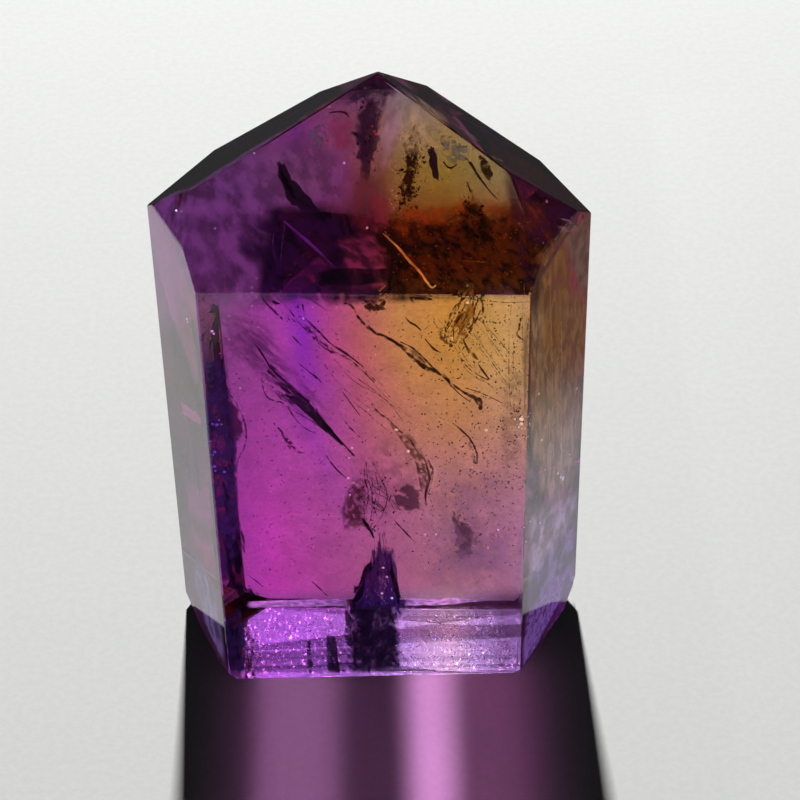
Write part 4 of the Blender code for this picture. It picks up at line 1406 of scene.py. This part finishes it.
def paperMaterial():
    material = newMaterial("paleFloor")
    where = addNode(material, "TexCoord").outputs["Object"]
    mottle = rise(material, addNoise(material, where, 0.5, 4.0).outputs["Fac"], 0.35, 0.65)
    grain = addNoise(material, where, 0.28).outputs["Fac"]
    bump = addNode(material, "Bump", {"Height": grain, "Strength": 0.20, "Distance": 0.05 * mm})
    return finishMaterial(material, {
        "Base Color": blendColours(material, mottle, *studio["floorTone"]),
        "Roughness": 0.75,
        "Normal": bump.outputs[0],
    })


def rampedCard():
    # pale like the floor along the side by the crystal, dusky farther out
    material = newMaterial("duskCard")
    where = addNode(material, "TexCoord").outputs["Object"]
    across = addNode(material, "SeparateXYZ", {0: where}).outputs["X"]
    near, far = [(edge - studio["duskCard"][1]) * mm for edge in studio["duskRamp"]]
    colour = blendColours(material, rise(material, across, near, far), *studio["duskTone"])
    return finishMaterial(material, {"Base Color": colour, "Roughness": 0.9})


def addStagePlane(name, size, place, material):
    deselectAll()
    bpy.ops.mesh.primitive_plane_add(size=size * mm, location=Vector(place) * mm)
    plane = bpy.context.object
    plane.name = name
    plane.data.materials.append(material)
    return plane


def addSoftLight(name, place, target, size, power, colour):
    data = bpy.data.lights.new(name, "AREA")
    data.shape = "RECTANGLE"
    data.size, data.size_y = [side * mm for side in size]
    data.energy = power
    data.color = colour
    lamp = bpy.data.objects.new(name, data)
    lamp.location = Vector(place) * mm
    lamp.rotation_euler = (lamp.location - Vector(target) * mm).to_track_quat("Z", "Y").to_euler()
    scene.collection.objects.link(lamp)
    return lamp


def hideFrom(piece, *rays):
    for ray in rays:
        setattr(piece, "visible_" + ray, False)


def addSky():
    # how bright the sky is depends on what looks at it
    world = bpy.data.worlds.new("studio")
    scene.world = world
    world.use_nodes = True
    tree = world.node_tree
    rays = addTo(tree, "ShaderNodeLightPath").outputs
    fill = studio["skyFill"]
    strength = fill
    for ray, level in (("Glossy", "skyMirrored"), ("Camera", "skySeen"), ("Transmission", "skyThroughStone")):
        step = {0: rays["Is %s Ray" % ray], 1: studio[level] - fill, 2: strength}
        strength = addTo(tree, "ShaderNodeMath", step, operation="MULTIPLY_ADD").outputs[0]
    sky = {"Color": (*studio["skyColour"], 1), "Strength": strength}
    fillSockets(tree, tree.nodes["Background"], sky)


addStagePlane("paleFloor", studio["floorSize"], (0, 0, -0.02), paperMaterial())
cardSize, middleX, middleY = studio["duskCard"]
duskCard = addStagePlane("duskCard", cardSize, (middleX, middleY, studio["cardHeight"]), rampedCard())
cardSize, cardStart = studio["blackCard"]
blackFinish = plainMaterial("blackCard", studio["blackTone"], 0.9)
middle = (0, cardStart + cardSize / 2, studio["cardHeight"])
blackCard = addStagePlane("blackCard", cardSize, middle, blackFinish)
for card in (duskCard, blackCard):
    hideFrom(card, "camera", "diffuse", "transmission", "shadow")
lamps = {}
for name, (place, size, power, colour) in studio["lamps"].items():
    lamps[name] = addSoftLight(name, place, (0, 0, 0), size, power, colour)
hideFrom(lamps["backPanel"], "camera", "diffuse", "glossy")
for name, (across, width, spread, power, colour) in studio["glows"].items():
    place = (across, *studio["glowFrom"])
    target = (across, studio["glowTo"], 0.0)
    glow = addSoftLight(name, place, target, (width, studio["glowLength"]), power, colour)
    glow.data.spread = math.radians(spread)
    hideFrom(glow, "camera", "glossy", "transmission")
addSky()
scene.cycles.max_bounces = 15
scene.cycles.glossy_bounces = 10
scene.cycles.transmission_bounces = 12
scene.cycles.transparent_max_bounces = 8
scene.cycles.caustics_reflective = False
scene.cycles.caustics_refractive = False
scene.cycles.use_denoising = True
scene.view_settings.view_transform = "Standard"
print("studio lit")
